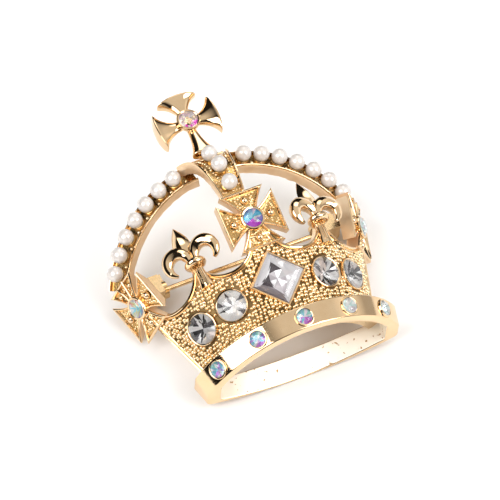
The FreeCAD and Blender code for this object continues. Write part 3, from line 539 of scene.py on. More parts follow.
def make_wall():
    shape = Shape()
    edge = wall_edge()
    rows = 61
    skins = []
    for inward in (0.0, WALL_THICK):
        skin = []
        for angle, top in edge:
            share_out = angle / side_angle(top)
            for row in range(rows):
                height = BAND_HEIGHT + (top - BAND_HEIGHT) * row / (rows - 1)
                skin.append(on_wall(share_out * side_angle(height), height, -inward).origin)
        skins.append(np.array(skin).reshape(len(edge), rows, 3))
    outer, inner = skins
    for spot in STONES.values():
        sink(outer, on_wall(*spot), ROUND_STONE, PIT_DEPTH)
    sink(outer, on_wall(0, SQUARE_HEIGHT), SQUARE_SIDE / 2, PIT_DEPTH, square=True)
    # The outer skin is the ground, which takes the near-black painted shade.
    shape.add(outer, grid_faces(len(edge), rows), GROUND)
    shape.add(inner, grid_faces(len(edge), rows), BACK)
    for row in (-1, 0):
        shape.add(np.stack((outer[:, row], inner[:, row]), 1), grid_faces(len(edge), 2))
    for column in (0, -1):
        shape.add(np.stack((outer[column], inner[column]), 1), grid_faces(rows, 2))
    border = wall_border(edge)
    sweep_rim(shape, border)
    granulate_wall(shape, border)
    for spot in STONES.values():
        collar(shape, on_wall(*spot, STONE_PROUD), ROUND_STONE, 0.26, 0.6)
    square_collar(shape, on_wall(0, SQUARE_HEIGHT, STONE_PROUD))
    build("wall_casting", shape, (POLISHED, CREVICE_SHADE, CAST, GRANULE), ["crown_wall"])


def wall_border(edge):
    """The visible border of the wall as places: up one side, along the scallops, down the other."""
    up_side = [(-side_angle(height), height) for height in np.linspace(BAND_HEIGHT + 0.2, WALL_TOP, 30)[:-1]]
    down_side = [(-angle, height) for angle, height in reversed(up_side)]
    return up_side + edge + down_side


def sweep_rim(shape, border):
    """A bold rim along the edge and a fine one inside it."""
    places = [on_wall(*spot) for spot in border]
    points = np.array([place.origin for place in places])
    profile = [(0.0, -0.5), (-0.04, 0.16), (0.04, 0.30), (0.18, 0.36), (0.32, 0.30), (0.40, 0.14),
               (0.46, 0.02), (0.54, 0.12), (0.64, 0.18), (0.74, 0.12), (0.80, 0.0), (0.80, -0.5)]
    loops = []
    for place, tangent in zip(places, np.gradient(points, axis=0)):
        normal = place.axes[2]
        inward = -unit(np.cross(normal, tangent))
        loops.append([place.origin + inward * a + normal * b for a, b in profile])
    tube(shape, loops)


GRANULE_PITCH, GRANULE_SMALL, GRANULE_LARGE = 0.64, 0.27, 0.40


def granulate_wall(shape, border):
    """Cast granules of mixed size, packed over the ground between the rims and the stones."""
    fence = np.array([on_wall(*spot).origin for spot in border])
    keep_off = [on_wall(*spot).origin for spot in STONES.values()]
    square = on_wall(0, SQUARE_HEIGHT)
    level, row = BAND_HEIGHT + 0.5, 0
    while level < WALL_TOP:
        radius = wall_radius(level)
        step = degrees(GRANULE_PITCH / radius)
        angle = -side_angle(level) + step * (0.5 if row % 2 else 0.0)
        while angle < side_angle(level):
            place = on_wall(angle + CHANCE.uniform(-0.24, 0.24) * step,
                            level + CHANCE.uniform(-0.22, 0.22) * GRANULE_PITCH)
            size = CHANCE.uniform(GRANULE_SMALL, GRANULE_LARGE)
            if granule_fits(place, size, fence, keep_off, square, edge_height(angle)):
                bead(shape, place.moved(0, 0, 0.02), size, BEADS, 9, 4, height=CHANCE.uniform(0.95, 1.25))
            angle += step
        level += GRANULE_PITCH * 0.84
        row += 1


def edge_height(angle):
    """Height of the wall's top edge at an angle."""
    top = WALL_TOP
    for centre, height, radius in (INNER_SCALLOP, OUTER_SCALLOP):
        across = sin(radians(abs(angle) - centre)) * wall_radius(height - radius / 2)
        if abs(across) < radius:
            top = min(top, height - WALL_LEAN * sqrt(radius ** 2 - across ** 2))
    return top


def granule_fits(place, size, fence, keep_off, square, top):
    """Whether a granule clears the wall's edge, its rims, the round stones and the square one."""
    if place.origin[1] > top - 0.6:
        return False
    if np.min(np.linalg.norm(fence - place.origin, axis=1)) < 0.66 + size * 0.7:
        return False
    if any(np.linalg.norm(place.origin - centre) < ROUND_STONE + 0.28 + size * 0.5 for centre in keep_off):
        return False
    local = square.axes @ (place.origin - square.origin)
    return abs(local[0]) + abs(local[1]) > (SQUARE_SIDE / 2 + 0.28 + size * 0.4) * sqrt(2)


def square_collar(shape, place):
    """A thin polished frame round the square stone, one corner up."""
    corners = [(0, 1), (-1, 0), (0, -1), (1, 0)]
    reach = SQUARE_SIDE / sqrt(2)
    profile = [(0.36, -0.7), (0.36, -0.1), (0.24, 0.10), (0.08, 0.12), (-0.02, 0.0), (-0.02, -0.7)]
    loops = [[(x * (reach + a * sqrt(2)), y * (reach + a * sqrt(2)), z) for a, z in profile]
             for x, y in corners]
    tube(shape, place.at(loops), closed=True)


# ---------- crosses
# A cross's face, by the distance in from its edge: a rim, a groove, then the ground's height.
CROSS_RIM = ((0.0, -0.10), (0.06, 0.04), (0.16, 0.12), (0.30, 0.10), (0.40, -0.06), (0.48, -0.30),
             (0.58, -0.34))
MARGINS, LEVELS = zip(*CROSS_RIM)
CROSS_TAPER, LEFT_TAPER = 0.97, 0.6  # width at the back as a share of the face's


def cross_arm(shape, place, channel, taper):
    """One flared arm along y: rimmed face, granulated ground and deep satin sides."""
    lengths = [CROSS_REACH - m for m in MARGINS]
    lengths += list(np.linspace(CROSS_REACH - MARGINS[-1], 0.95, 12)[1:])
    shares = np.linspace(1, -1, 9)[1:-1]
    top = []
    for y in lengths:
        half = arm_half_width(y)
        xs = [half - m for m in MARGINS]
        xs = xs + [share * xs[-1] for share in shares] + [-x for x in reversed(xs)]
        top.append([(x, y, np.interp(min(half - abs(x), CROSS_REACH - y), MARGINS, LEVELS)) for x in xs])
    top = np.array(top)
    rows, columns = top.shape[:2]
    bottom = top * (taper, (1 + taper) / 2, 1)
    bottom[:, :, 2] = -CROSS_THICK
    faces = grid_faces(rows, columns)
    base = len(shape.slots)
    shape.add(place.at(top), faces)
    rim = len(MARGINS) - 2  # faces across the rim and its groove
    # Faces inside the rim are ground, which takes the deeper orange of painted shade.
    for index in range(len(faces)):
        row, column = divmod(index, columns - 1)
        if row >= rim and rim <= column < columns - 1 - rim:
            shape.slots[base + index] = GROUND
    shape.add(place.at(bottom), faces, BACK)
    ring = ([(0, j) for j in range(columns)] + [(i, columns - 1) for i in range(1, rows)]
            + [(rows - 1, j) for j in range(columns - 2, -1, -1)] + [(i, 0) for i in range(rows - 2, 0, -1)])
    side = [[top[i, j], top[i, j] + (0, 0, -0.12), bottom[i, j] + (0, 0, 0.1), bottom[i, j]] for i, j in ring]
    last = (len(ring) - 1) * 4
    closing = [(last + k, last + k + 1, k + 1, k) for k in range(3)]
    shape.add(place.at(side), grid_faces(len(ring), 4) + closing, SIDE)
    arm_beads(shape, place, channel)


def arm_half_width(y):
    return CROSS_ROOT + (CROSS_END - CROSS_ROOT) * (y / CROSS_REACH) ** 1.5


def arm_beads(shape, place, channel):
    """One large bead, or two beside the arch, with small granules round them."""
    spots = [(1.55, 3.35, 0.42), (-1.55, 3.35, 0.42)] if channel else [(0.0, CROSS_REACH * 0.66, 0.62)]
    for x, y, size in spots:
        bead(shape, place.moved(x, y, -0.20), size, FACE, 14, 5)
    for _ in range(90):
        y = CHANCE.uniform(1.9, CROSS_REACH - 0.75)
        x = CHANCE.uniform(-1, 1) * (arm_half_width(y) - 0.75)
        size = CHANCE.uniform(0.16, 0.28)
        if all(hypot(x - u, y - v) > size * 0.8 + other for u, v, other in spots):
            bead(shape, place.moved(x, y, -0.36), size, BEADS)
            spots.append((x, y, size * 0.5))


def make_crosses():
    for name, (angle, height) in CROSSES.items():
        shape = Shape()
        place = on_wall(angle, height, CROSS_PROUD)
        for quarter in range(4):
            carries_arch = quarter == 0 and name != "centre"
            taper = LEFT_TAPER if name == "left" else CROSS_TAPER
            cross_arm(shape, place.turned(90 * quarter), carries_arch, taper)
        hub = place.moved(0, 0, 0.5)
        lathe(shape, place, [(0.2, -CROSS_THICK), (1.75, -CROSS_THICK), (1.8, 0.0), (1.9, 0.32),
                             (1.84, 0.5), (1.7, 0.58), (1.52, 0.54), (1.46, 0.3), (1.3, -0.5), (0.2, -0.75)])
        if name != "centre":
            arch_groove(shape, place)
        build("cross_%s_casting" % name, shape, (POLISHED, RECESS_SHADE, CAST, GRANULE, SATIN), ["cross_" + name])
        gem("cross_%s_gem" % name, "cross_stone_" + name, hub, CROSS_STONE, AURORA, AURORA_LOOKS[name])


def arch_groove(shape, place):
    """Two ribs on a side cross's upper arm, between which the arch comes down to the hub."""
    for side in (-1, 1):
        loops = []
        for share in np.linspace(0, 1, 12):
            y = 1.9 + share * (CROSS_REACH - 1.9)
            x = side * (0.42 + 0.55 * share ** 1.4)
            swell = 0.16 + 0.06 * sin(pi * share)
            loops.append([(x + swell * cos(t), y, 0.02 + 0.24 * sin(t))
                          for t in round_turns(12)])
        tube(shape, place.at(loops))


# ---------- fleurs-de-lis
def ribbon(shape, place, path, width, depth, ridge):
    """A polished petal swept along a path in the place's plane, lens-shaped in section."""
    path = np.array(path)
    loops = []
    for index, (point, tangent) in enumerate(zip(path, np.gradient(path, axis=0))):
        tangent = unit(tangent)
        across = unit(np.cross((0, 0, 1), tangent))
        out = np.cross(tangent, across)
        share = index / (len(path) - 1)
        half, thick = width(share), depth(share)
        loop = []
        for turn in round_turns(16):
            c, s = cos(turn), sin(turn)
            lift = thick * copysign(abs(s) ** 0.8, s)
            if s > 0:
                lift += ridge * half * max(0.0, 1 - abs(c) * 2.2)
            else:
                lift *= 2.0
            loop.append(point + across * half * c + out * lift)
        loops.append(loop)
    tube(shape, place.at(loops))


def petal_swell(share):
    return sin(pi * min(1, share * 0.90 + 0.08))


def petal_width(share):
    return 0.12 + 0.88 * petal_swell(share) ** 0.8


def petal_depth(share):
    return 0.20 + 0.55 * petal_swell(share)


def make_fleur(side, hand):
    shape = Shape()
    turn = radians(side * FLEUR_TURN)
    out = np.array((sin(turn), 0, cos(turn)))
    across = np.array((out[2], 0, -out[0]))
    place = Place((side * FLEUR_OFFSET, FLEUR_HEIGHT, FLEUR_FRONT), across, (0, 1, 0))

    # The middle petal is a leaf with a sharp ridge.
    lean = Place(place.at((side * 0.25 - 0.35, 0, 0)), place.axes[0], place.axes[1] - place.axes[2] * 0.05)
    leaf = []
    for share in np.linspace(0, 1, 26):
        half = 1.42 * sin(pi * min(1.0, share * 0.97 + 0.03) ** 0.9) ** 0.95 + 0.04
        y = 0.6 + share * 6.75
        z = 0.05 + 0.3 * sin(pi * share)
        front, back = z + 0.34 * half + 0.03, z - 0.45 * half - 0.15
        leaf.append([(-half, y, z - 0.15), (-half * 0.92, y, z + 0.02), (-half * 0.5, y, front),
                     (0, y, z + 0.54 * half + 0.05), (half * 0.5, y, front), (half * 0.92, y, z + 0.02),
                     (half, y, z - 0.15), (half * 0.5, y, back), (0, y, z - 0.5 * half - 0.2),
                     (-half * 0.5, y, back)])
    tube(shape, lean.at(leaf))

    # The side petals rise from the collar, arch over and curl under to a point.
    for hook in (-1, 1):
        path = []
        for share in np.linspace(0, 1, 40):
            sweep = radians(200 - 262 * share)
            radius = 1.66 - 0.14 * share
            path.append((hook * (2.3 + radius * cos(sweep) * 1.08), 1.0 + radius * sin(sweep) * 1.14,
                         0.2 + 0.5 * sin(pi * share) - 0.15 * hook))
        ribbon(shape, place, path, petal_width, petal_depth, 0.14)

    # An oblique ring binds the petals, and the stem runs down into the wall's peak.
    ring = Place(place.at((0, 0.05, 0.0)), place.axes[0], place.axes[2])
    profile = [(1.15 + 0.60 * cos(t), 0.60 * sin(t)) for t in round_turns(16)]
    lathe(shape, ring, profile, segments=36)
    stem = []
    for share in np.linspace(0, 1, 16):
        half = 0.62 + 0.55 * share ** 2 + 0.5 * (1 - share) ** 4
        stem.append([(half * cos(t), 0.6 - share * 4.6, -0.35 + 0.55 * sin(t) - 0.3 * share)
                     for t in round_turns(20)])
    tube(shape, place.at(stem))
    for flank in (-1, 0, 1):
        rib = []
        for share in np.linspace(0, 1, 6):
            x, y, z = 0.42 * flank, -share * 3.4, 0.22 - 0.3 * share - 0.12 * abs(flank)
            rib.append([(x + 0.13 * cos(t), y, z + 0.13 * sin(t)) for t in round_turns(8)])
        tube(shape, place.at(rib))
    build("fleur_%s_casting" % hand, shape, (POLISHED,), ["fleur_" + hand])


# ---------- arches
# Where a section's faces lie, counted from its first point.
SIDE_FACES, FLOOR_FACES, FIRST_BACK_FACE = (0, 1, 18, 19), range(8, 12), 20


def channel_section(width):
    """An arch's section as (height over the floor, offset): rounded rims and a slightly bowed back."""
    half, rim = width / 2, ARCH_RIM
    side = [(-0.10, half - rim - 0.06), (0.0, half - rim - 0.02), (rim * 0.72, half - rim + 0.04),
            (rim, half - rim * 0.62), (rim * 1.02, half - rim * 0.35), (rim * 0.8, half - 0.06),
            (rim * 0.4, half), (-ARCH_BACK * 0.75, half), (-ARCH_BACK * 0.95, half - 0.12)]
    floor = [(-0.10, share * (half - rim - 0.1)) for share in (-0.6, 0, 0.6)]
    back = [(-ARCH_BACK, share * half) for share in (0.6, 0.0, -0.6)]
    mirrored = [(height, -offset) for height, offset in reversed(side)]
    return mirrored + floor + side + back


def rolled(height, offset, roll):
    """A point of an arch's section turned about the pearls' centres, as (height, offset)."""
    turn, rise = radians(roll), height - PEARL_LIFT
    return (PEARL_LIFT + rise * cos(turn) - offset * sin(turn),
            rise * sin(turn) + offset * cos(turn))


def floor_seat(place, radius, angle, offset=0.0, roll=0.0, lift=0.0):
    """A place over the channel's floor, its z axis pointing away from the floor."""
    turn = radians(angle)
    radial = np.array((cos(turn), sin(turn), 0))
    height, across = rolled(lift, offset, roll)
    out = radial * cos(radians(roll)) + np.array((0, 0, sin(radians(roll))))
    tangent = np.array((-sin(turn), cos(turn), 0))
    return Place(place.at(radial * (radius + height) + np.array((0, 0, across))),
                 tangent @ place.axes, np.cross(out, tangent) @ place.axes)


def sweep_channel(shape, place, radius, angles, width, roll=0.0):
    """Sweep the channel round an arc; its sides, floor and back have finishes of their own, the floor's a
    deeper orange of painted shade.
    """
    loops = []
    for index, angle in enumerate(angles):
        share = index / (len(angles) - 1)
        turn = radians(angle)
        loop = []
        for height, offset in channel_section(width(share)):
            if offset * roll < 0:
                offset *= FAR_SHARE
            if height < -0.5 * ARCH_BACK:
                height += 0.16 * noise.noise(Vector((angle * 0.35, offset * 0.7, radius)))
            rise, across = rolled(height, offset, roll)
            loop.append(((radius + rise) * cos(turn), (radius + rise) * sin(turn), across))
        loops.append(loop)
    base, columns = len(shape.slots), len(loops[0])
    tube(shape, place.at(loops))
    for index in range((len(angles) - 1) * columns):
        column = index % columns
        if column in SIDE_FACES:
            shape.slots[base + index] = SIDE
        elif column in FLOOR_FACES:
            shape.slots[base + index] = GROUND
        elif column >= FIRST_BACK_FACE:
            shape.slots[base + index] = BACK


def channel_beads(shape, place, radius, angles, width, pearls, rows):
    """Small granules on the floor beside the pearls."""
    reach = degrees(0.46 / radius)
    angle = min(angles) + reach
    while angle < max(angles) - reach:
        share = (angle - angles[0]) / (angles[-1] - angles[0])
        half = width(share) / 2 - ARCH_RIM - 0.22
        for row in rows:
            offset = row * half + CHANCE.uniform(-0.07, 0.07)
            swing = angle + CHANCE.uniform(-0.25, 0.25) * reach
            if all(hypot(radians(swing - pearl) * radius, offset) > PEARL * 0.95 for pearl in pearls):
                seat = floor_seat(place, radius, swing, offset, lift=-0.14)
                bead(shape, seat, CHANCE.uniform(0.16, 0.30), BEADS)
        angle += reach * 1.5


def pearl_cup(shape, place, radius, angle, roll=0.0):
    """The raised seat that a pearl is glued in."""
    # The cup takes the ground's deeper orange of painted shade.
    lathe(shape, floor_seat(place, radius, angle, 0.0, roll),
          [(0.3, -0.2), (1.12, -0.2), (1.10, 0.10), (1.0, 0.16), (0.9, 0.1), (0.3, 0.0)], GROUND, 24)


def make_pearl(label, place, radius, angle, roll=0.0):
    """A half-drilled pearl with a flat underside, never quite round."""
    shape = Shape()
    seat = floor_seat(place, radius, angle, 0.0, roll, PEARL_LIFT)
    loops = []
    for tilt in np.radians(np.linspace(-60, 88, 25)):
        loop = []
        for turn in round_turns(36):
            point = np.array((cos(tilt) * cos(turn), cos(tilt) * sin(turn), sin(tilt)))
            wobble = 1 - 0.006 * (1 + noise.noise(Vector(point * 1.3 + seat.origin * 0.37)))
            loop.append(point * PEARL * wobble)
        loops.append(loop)
    tube(shape, seat.at(loops))
    build(label + "_nacre", shape, (PEARL_NACRE,), [label], sharp=50)


def side_arch_place(side):
    lean = radians(ARCH_LEAN)
    return Place((0, ARCH_HEIGHT, ARCH_FRONT), (side, 0, 0), (0, cos(lean), sin(lean)))


def make_side_arch(side, hand):
    """A side arch: its channel is rolled towards the front, and a granule follows each pearl."""
    shape = Shape()
    place, roll = side_arch_place(side), side * ARCH_ROLL
    angles = np.linspace(ARCH_START, ARCH_END, 110)
    pearls = [PEARL_START + index * PEARL_STEP for index in range(7)]

    def width(share):
        return ARCH_WIDTH + 0.5 * max(0.0, (share - 0.88) / 0.12) ** 1.5

    sweep_channel(shape, place, ARCH_FLOOR, angles, width, roll)
    for angle in pearls:
        pearl_cup(shape, place, ARCH_FLOOR, angle, roll)
        seat = floor_seat(place, ARCH_FLOOR, angle + PEARL_STEP / 2 + CHANCE.uniform(-0.3, 0.3),
                          side * 1.05, roll, -0.08)
        bead(shape, seat, CHANCE.uniform(0.28, 0.36), BEADS, 12, 4)
    build("arch_%s_casting" % hand, shape, (POLISHED, RECESS_SHADE, CAST, GRANULE, SATIN), ["arch_" + hand])
    for index, angle in enumerate(pearls, 1):
        make_pearl("pearl_%s_%d" % (hand, index), place, ARCH_FLOOR, angle, roll)


def make_centre_arch():
    shape = Shape()
    place = Place((0, CENTRE_HEIGHT, CENTRE_FRONT), (0, 1, 0), (0, 0, 1))
    angles = np.linspace(CENTRE_LOW, CENTRE_TOP, 60)
    pearls = [CENTRE_PEARL - index * CENTRE_STEP for index in range(3)]

    def width(share):
        return CENTRE_NARROW + share * (CENTRE_WIDE - CENTRE_NARROW) + 1.7 * share ** 6

    sweep_channel(shape, place, CENTRE_FLOOR, angles, width)
    channel_beads(shape, place, CENTRE_FLOOR, angles, width, pearls, (-1, -0.6, -0.2, 0.2, 0.6, 1))
    for angle in pearls:
        pearl_cup(shape, place, CENTRE_FLOOR, angle)
    end = radians(CENTRE_TOP)
    c, s = cos(end), sin(end)
    reach = CENTRE_FLOOR + 0.1
    roll = [(0.34 * cos(t), 0.3 * sin(t)) for t in round_turns(12)]
    loops = [[((reach + out) * c - along * s, (reach + out) * s + along * c, share * (CENTRE_WIDE / 2 - 0.15))
              for out, along in roll] for share in np.linspace(-1, 1, 21)]
    tube(shape, place.at(loops))
    build("arch_centre_casting", shape, (POLISHED, RECESS_SHADE, CAST, GRANULE, SATIN), ["arch_centre"])
    for index, angle in enumerate(pearls, 1):
        make_pearl("pearl_centre_%d" % index, place, CENTRE_FLOOR, angle)


# ---------- top cross
def trumpet_arm(shape, place, reach, flare=2.75, deepen=0.80):
    """An arm that flares like a trumpet to a wide lens-shaped end with a domed face."""
    loops = []
    stations = [(share, 0.0) for share in np.linspace(0, 0.94, 22)]
    stations += [(0.94 + 0.06 * sin(t), 1 - cos(t)) for t in np.radians((25, 50, 70, 85))]
    for share, inset in stations:
        half = 0.72 + flare * share ** 2.6 - 0.26 * inset
        depth = 0.70 + deepen * share ** 2.4 - 0.24 * inset
        power = 1.0 - 0.35 * share ** 2
        loop = []
        for turn in round_turns(36):
            c, s = cos(turn), sin(turn)
            x = half * copysign(abs(c) ** power, c)
            z = depth * copysign(abs(s) ** power, s)
            sag = 0.10 * share * (x / 3.2) ** 2 * reach
            loop.append((x, reach * share - sag, z))
        loops.append(loop)
    for shrink, bulge in ((0.8, 0.06), (0.55, 0.14), (0.25, 0.19), (0.04, 0.2)):
        tip = []
        for x, _, z in loops[len(stations) - 1]:
            x *= shrink
            tip.append((x, reach * 0.995 - 0.10 * (x / 3.2) ** 2 * reach + bulge * 0.5, z * shrink))
        loops.append(tip)
    tube(shape, place.at(loops))


def make_top_cross():
    shape = Shape()
    place = Place((0, TOP_HEIGHT, TOP_FRONT), (1, 0, 0), (0, 1, 0))
    for quarter in range(4):
        reach = (TOP_REACH - 0.1, TOP_REACH + 0.3, TOP_FOOT, TOP_REACH - 0.1)[quarter]
        trumpet_arm(shape, place.turned(90 * quarter), reach, *((1.2, 0.5) if quarter == 2 else ()))
    hub = place.moved(0, 0, TOP_HUB / 2)
    lathe(shape, hub, [(0.2, 0.6 - TOP_HUB), (0.9, 0.6 - TOP_HUB), (1.3, 1.0 - TOP_HUB), (1.85, -0.6),
                       (1.9, -0.1), (1.8, 0.08), (1.65, 0.12), (1.5, 0.05), (1.45, -0.4), (1.3, -1.0),
                       (0.2, -1.2)])
    build("top_cross_casting", shape, (POLISHED,), ["top_cross"])
    gem("top_cross_gem", "cross_stone_top", hub, CROSS_STONE, AURORA, AURORA_LOOKS["top"])


# ---------- stones
# Foil tints of the clear stones are painted light: white painted glints, near-black painted dark reflections
# and a warm painted reflection of the gold.
CLEAR_PAINTED_GLINTS = ((1.0, 1.0, 1.0), (1.0, 0.99, 0.98), (0.80, 0.79, 0.79), (0.05, 0.05, 0.05),
               (0.14, 0.13, 0.14), (0.92, 0.80, 0.75))
# Foil tints of the square stone: its own mauve greys, with white painted glints and near-black painted dark
# reflections.
SMOKY_HUES_AND_PAINTED_GLINTS = ((1.0, 0.99, 1.0), (0.76, 0.71, 0.74), (0.34, 0.30, 0.32), (1.0, 0.96, 0.98),
               (0.10, 0.08, 0.09))
PAINTED_GLINT = (0.97, 0.96, 0.94)  # a painted white glint among the tinted facets
AURORA_LOOKS = {
    # tints from the top of a stone to its bottom
    "left": ((0.90, 0.28, 0.22), (0.85, 0.90, 0.45), (0.30, 0.75, 0.90), (0.60, 0.55, 0.85)),
    "centre": ((0.35, 0.75, 0.85), (0.10, 0.62, 0.75), (0.35, 0.30, 0.80), (0.90, 0.10, 0.75)),
    "right": ((0.88, 0.86, 0.88), (0.70, 0.88, 0.85), (0.85, 0.75, 0.85), (0.75, 0.80, 0.92)),
    "top": ((0.85, 0.88, 0.72), (0.90, 0.80, 0.60), (0.88, 0.70, 0.72), (0.90, 0.05, 0.65)),
    "band": ((0.35, 0.85, 0.72), (0.30, 0.70, 0.85), (0.65, 0.30, 0.85), (0.85, 0.20, 0.75)),
    "pale": ((0.88, 0.86, 0.82), (0.62, 0.85, 0.82), (0.80, 0.86, 0.86), (0.90, 0.80, 0.86)),
}


def facet_tints(count, tints, heights=None):
    """A tint for each facet, at random or graded from the stone's top to its bottom; a quarter of the graded
    ones get a painted white glint.
    """
    if heights is None:
        return [CHANCE.choice(tints) for _ in range(count)]
    chosen = []
    for height in heights:
        level = (1 - height) / 2 * (len(tints) - 1) + CHANCE.uniform(-0.9, 0.9)
        flash = CHANCE.random() < 0.25
        chosen.append(PAINTED_GLINT if flash else tints[max(0, min(len(tints) - 1, round(level)))])
    return chosen


def cut_stone(label, node, place, points, glass, foil, materials, tints, heights=None):
    """One stone: glass faces, left white, then the foil's facets, each with a tint of its own, painted glints
    and painted dark reflections among them.
    """
    shape = Shape()
    shape.add(place.at(points), glass + foil)
    shape.slots = [GLASS] * len(glass) + [FOIL] * len(foil)
    piece = build(label, shape, materials, [node], sharp=0)
    colours = [(1, 1, 1)] * len(glass) + facet_tints(len(foil), tints, heights)
    layer = piece.data.color_attributes.new("facet", "FLOAT_COLOR", "CORNER")
    for face in piece.data.polygons:
        for corner in face.loop_indices:
            layer.data[corner].color = (*colours[face.index], 1)


def circle(count, radius, height, start=0.0):
    """Equally spaced points at a height, the first of them turned by an angle."""
    turns = [2 * pi * k / count + radians(start) for k in range(count)]
    return [(radius * cos(turn), radius * sin(turn), height) for turn in turns]


def gem(label, node, place, radius, materials, tints, slot="aurora_crystal", depth=None):
    """A round brilliant: table, stars, kites and girdle facets over a faceted foil back."""
    depth = depth or radius * 0.62
    lift = radius * 0.35
    points = circle(8, radius * 0.55, lift) + circle(8, radius * 0.77, lift * 0.62, 22.5)
    points += circle(16, radius, 0.06) + circle(16, radius, -0.04)
    points += circle(8, radius * 0.30, -depth * 0.78, 22.5) + [(0, 0, -depth)]
    table, star, girdle, seat, low, tip = 0, 8, 16, 32, 48, 56
    glass = [tuple(range(8))]
    foil = []
    for k in range(8):
        after = (k + 1) % 8
        glass.append((table + k, star + k, table + after))
        glass.append((table + k, star + (k - 1) % 8, girdle + 2 * k, star + k))
        glass.append((star + k, girdle + 2 * k, girdle + 2 * k + 1))
        glass.append((star + k, girdle + 2 * k + 1, girdle + (2 * k + 2) % 16))
        foil.append((tip, low + (k - 1) % 8, seat + 2 * k, low + k))
        foil.append((low + k, seat + 2 * k, seat + 2 * k + 1))
        foil.append((low + k, seat + 2 * k + 1, seat + (2 * k + 2) % 16))
    foil += [(girdle + k, girdle + (k + 1) % 16, seat + (k + 1) % 16, seat + k) for k in range(16)]
    heights = None
    if slot == "aurora_crystal":
        heights = [sum(points[i][1] for i in face) / len(face) / radius * 1.6 for face in foil]
    cut_stone(label, node, place, points, glass, foil, materials, tints, heights)


def square_gem(place):
    """A step-cut square, one corner up, over a foil back of crossed steps."""
    reach = SQUARE_SIDE / sqrt(2)
    levels = ((0.60, 0.80, 0), (0.82, 0.58, 0), (0.985, 0.08, 0), (0.985, -0.04, 0), (0.62, -0.55, 0),
              (0.36, -0.62, 45), (0.30, -0.95, 0))
    points = [point for share, height, turn in levels for point in circle(4, reach * share, height, turn)]
    points.append((0, 0, -1.05))
    glass = [(0, 1, 2, 3)]
    foil = []
    for k in range(4):
        after = (k + 1) % 4
        for low, high in ((0, 4), (4, 8)):
            glass.append((low + k, high + k, high + after, low + after))
        foil.append((8 + k, 12 + k, 12 + after, 8 + after))
        foil.append((12 + k, 16 + k, 20 + k, 16 + after, 12 + after))
        foil.append((16 + k, 24 + k, 20 + k))
        foil.append((16 + after, 20 + k, 24 + after))
        foil.append((20 + k, 24 + k, 28))
        foil.append((20 + k, 28, 24 + after))
    cut_stone("square_gem", "square_stone", place, points, glass, foil, SMOKY, SMOKY_HUES_AND_PAINTED_GLINTS)


def make_stones():
    for name, (angle, height) in STONES.items():
        gem(name + "_gem", name + "_stone", on_wall(angle, height, STONE_PROUD), ROUND_STONE, CLEAR,
            CLEAR_PAINTED_GLINTS, slot="clear_crystal", depth=1.3)
    square_gem(on_wall(0, SQUARE_HEIGHT, STONE_PROUD))
    for index in range(-2, 3):
        look = "band" if index < 1 else "pale"
        gem("band_gem_%d" % (index + 3), "band_stone_%d" % (index + 3), on_band(index * BAND_STEP, 0.15),
            BAND_STONE, AURORA, AURORA_LOOKS[look])


# ---------- fittings kept from the design
def finish_fittings():
    for node, item in (("hinge_bracket", CATCH), ("hinge_rivet", WIRE), ("pin_stem", WIRE),
                       ("catch_housing", CATCH), ("catch_rotor", CATCH)):
        for entry in frame["nodes"][node].material_slots:
            entry.material = item


# ---------- floor, camera and light
AZIMUTH, ELEVATION = -25.2, 50.5
TARGET = Vector((0.06, -3.27, 9.96)) * MM
FRAME_WIDTH, DISTANCE, SENSOR = 76.35 * MM, 1.0, 36.0


def view_axes():
    """The camera's right, up and backward directions in the row frame."""
    turn, rise = radians(AZIMUTH), radians(ELEVATION)
    back = Vector((sin(turn) * cos(rise), -cos(turn) * cos(rise), sin(rise)))
    right = Vector((cos(turn), sin(turn), 0))
    return right, back.cross(right), back


def make_camera():
    right, up, back = view_axes()
    lens = bpy.data.cameras.new("camera")
    lens.sensor_width = SENSOR
    lens.lens = SENSOR * DISTANCE / FRAME_WIDTH
    lens.clip_start, lens.clip_end = 0.01, 20
    camera = new_object("camera", lens)
    axes = Matrix((right, up, back)).transposed()
    camera.matrix_world = Matrix.Translation(TARGET + back * DISTANCE) @ axes.to_4x4()
    scene.camera = camera


# Pale walls in the view's axes: right, up, back, the half angles of core and edge, radiance.
PALE_WALLS = (
    (0.44, 0.62, 0.62, 34, 54, 0.80),
    (0.90, 0.35, -0.20, 20, 40, 0.50),
    (0.02, 0.98, 0.17, 11, 16, 2.20),
    (0.10, -0.95, 0.30, 25, 50, 0.50),
)


def softbox(name, direction, distance, size, radiance):
    """A square softbox that faces the crown; its strength is given as radiance."""
    right, up, back = view_axes()
    towards = (right * direction[0] + up * direction[1] + back * direction[2]).normalized()
    light = bpy.data.lights.new(name, "AREA")
    light.shape = "RECTANGLE"
    light.size, light.size_y = size
    light.energy = radiance * pi * size[0] * size[1]
    lamp = new_object(name, light)
    lamp.location = TARGET + towards * distance
    lamp.rotation_euler = towards.to_track_quat("Z", "Y").to_euler()
    lamp.visible_camera = False
    return lamp


FLOOR_REACH, FLOOR_GAP = 1.5, 0.0001  # metres; the gap keeps the floor just clear of the brooch


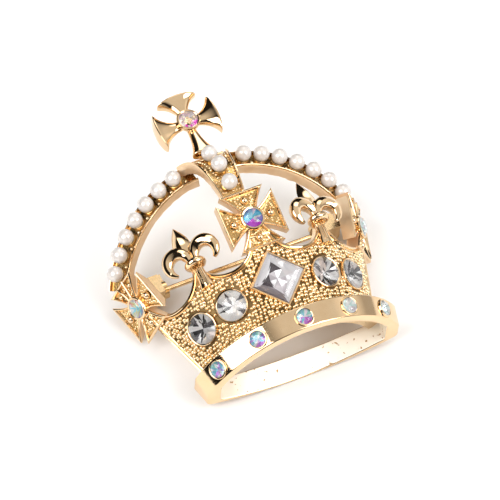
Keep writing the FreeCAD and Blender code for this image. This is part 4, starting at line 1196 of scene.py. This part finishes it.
def make_floor():
    mesh = bpy.data.meshes.new("floor")
    corners = [(-1, -1), (1, -1), (1, 1), (-1, 1)]
    mesh.from_pydata([(x * FLOOR_REACH, y * FLOOR_REACH, 0) for x, y in corners], [], [(0, 1, 2, 3)])
    floor = new_object("floor", mesh)
    item, tree, shader = new_material("floor_paper", Roughness=0.6)
    shade = span(tree, grain(tree, 0.02), 0, 1)
    link(tint(tree, shade, (0.93, 0.925, 0.92), (0.91, 0.905, 0.90)), shader, "Base Color")
    mesh.materials.append(item)
    floor.location.z = cad_box[0].z - FLOOR_GAP


def make_surroundings():
    """A dark studio with a few pale walls, which the polished gold mirrors."""
    world = bpy.data.worlds.new("studio")
    scene.world = world
    world.use_nodes = True
    tree = world.node_tree
    direction = tree.nodes.new("ShaderNodeTexCoord").outputs["Generated"]
    total = None
    right, up, back = view_axes()
    for across, rise, towards, narrow, wide, radiance in PALE_WALLS:
        facing = tree.nodes.new("ShaderNodeVectorMath")
        facing.operation = "DOT_PRODUCT"
        facing.inputs[1].default_value = (right * across + up * rise + back * towards).normalized()
        tree.links.new(direction, facing.inputs[0])
        glow = span(tree, facing.outputs["Value"], 0.0, radiance,
                    cos(radians(wide)), cos(radians(narrow)))
        if total is not None:
            joined = tree.nodes.new("ShaderNodeMath")
            tree.links.new(total, joined.inputs[0])
            tree.links.new(glow, joined.inputs[1])
            glow = joined.outputs[0]
        total = glow
    colour = tint(tree, total, (0.015, 0.014, 0.013), (1.0, 0.98, 0.95))
    colour.node.clamp_factor = False
    tree.links.new(colour, tree.nodes["Background"].inputs["Color"])


def make_light():
    softbox("softbox_left", (-0.58, 0.11, 0.80), 0.7, (0.52, 0.55), 5.2)
    softbox("softbox_right", (0.69, 0.13, 0.71), 0.7, (0.36, 0.50), 5.2)
    fill = softbox("fill", (0.05, 0.55, 0.83), 1.2, (2.2, 2.2), 0.22)
    fill.visible_glossy = False
    make_surroundings()
    scene.view_settings.view_transform = "Standard"


make_circlet()
make_wall()
make_crosses()
for side, hand in ((-1, "left"), (1, "right")):
    make_fleur(side, hand)
    make_side_arch(side, hand)
make_centre_arch()
make_top_cross()
make_stones()
finish_fittings()
make_camera()
make_floor()
make_light()
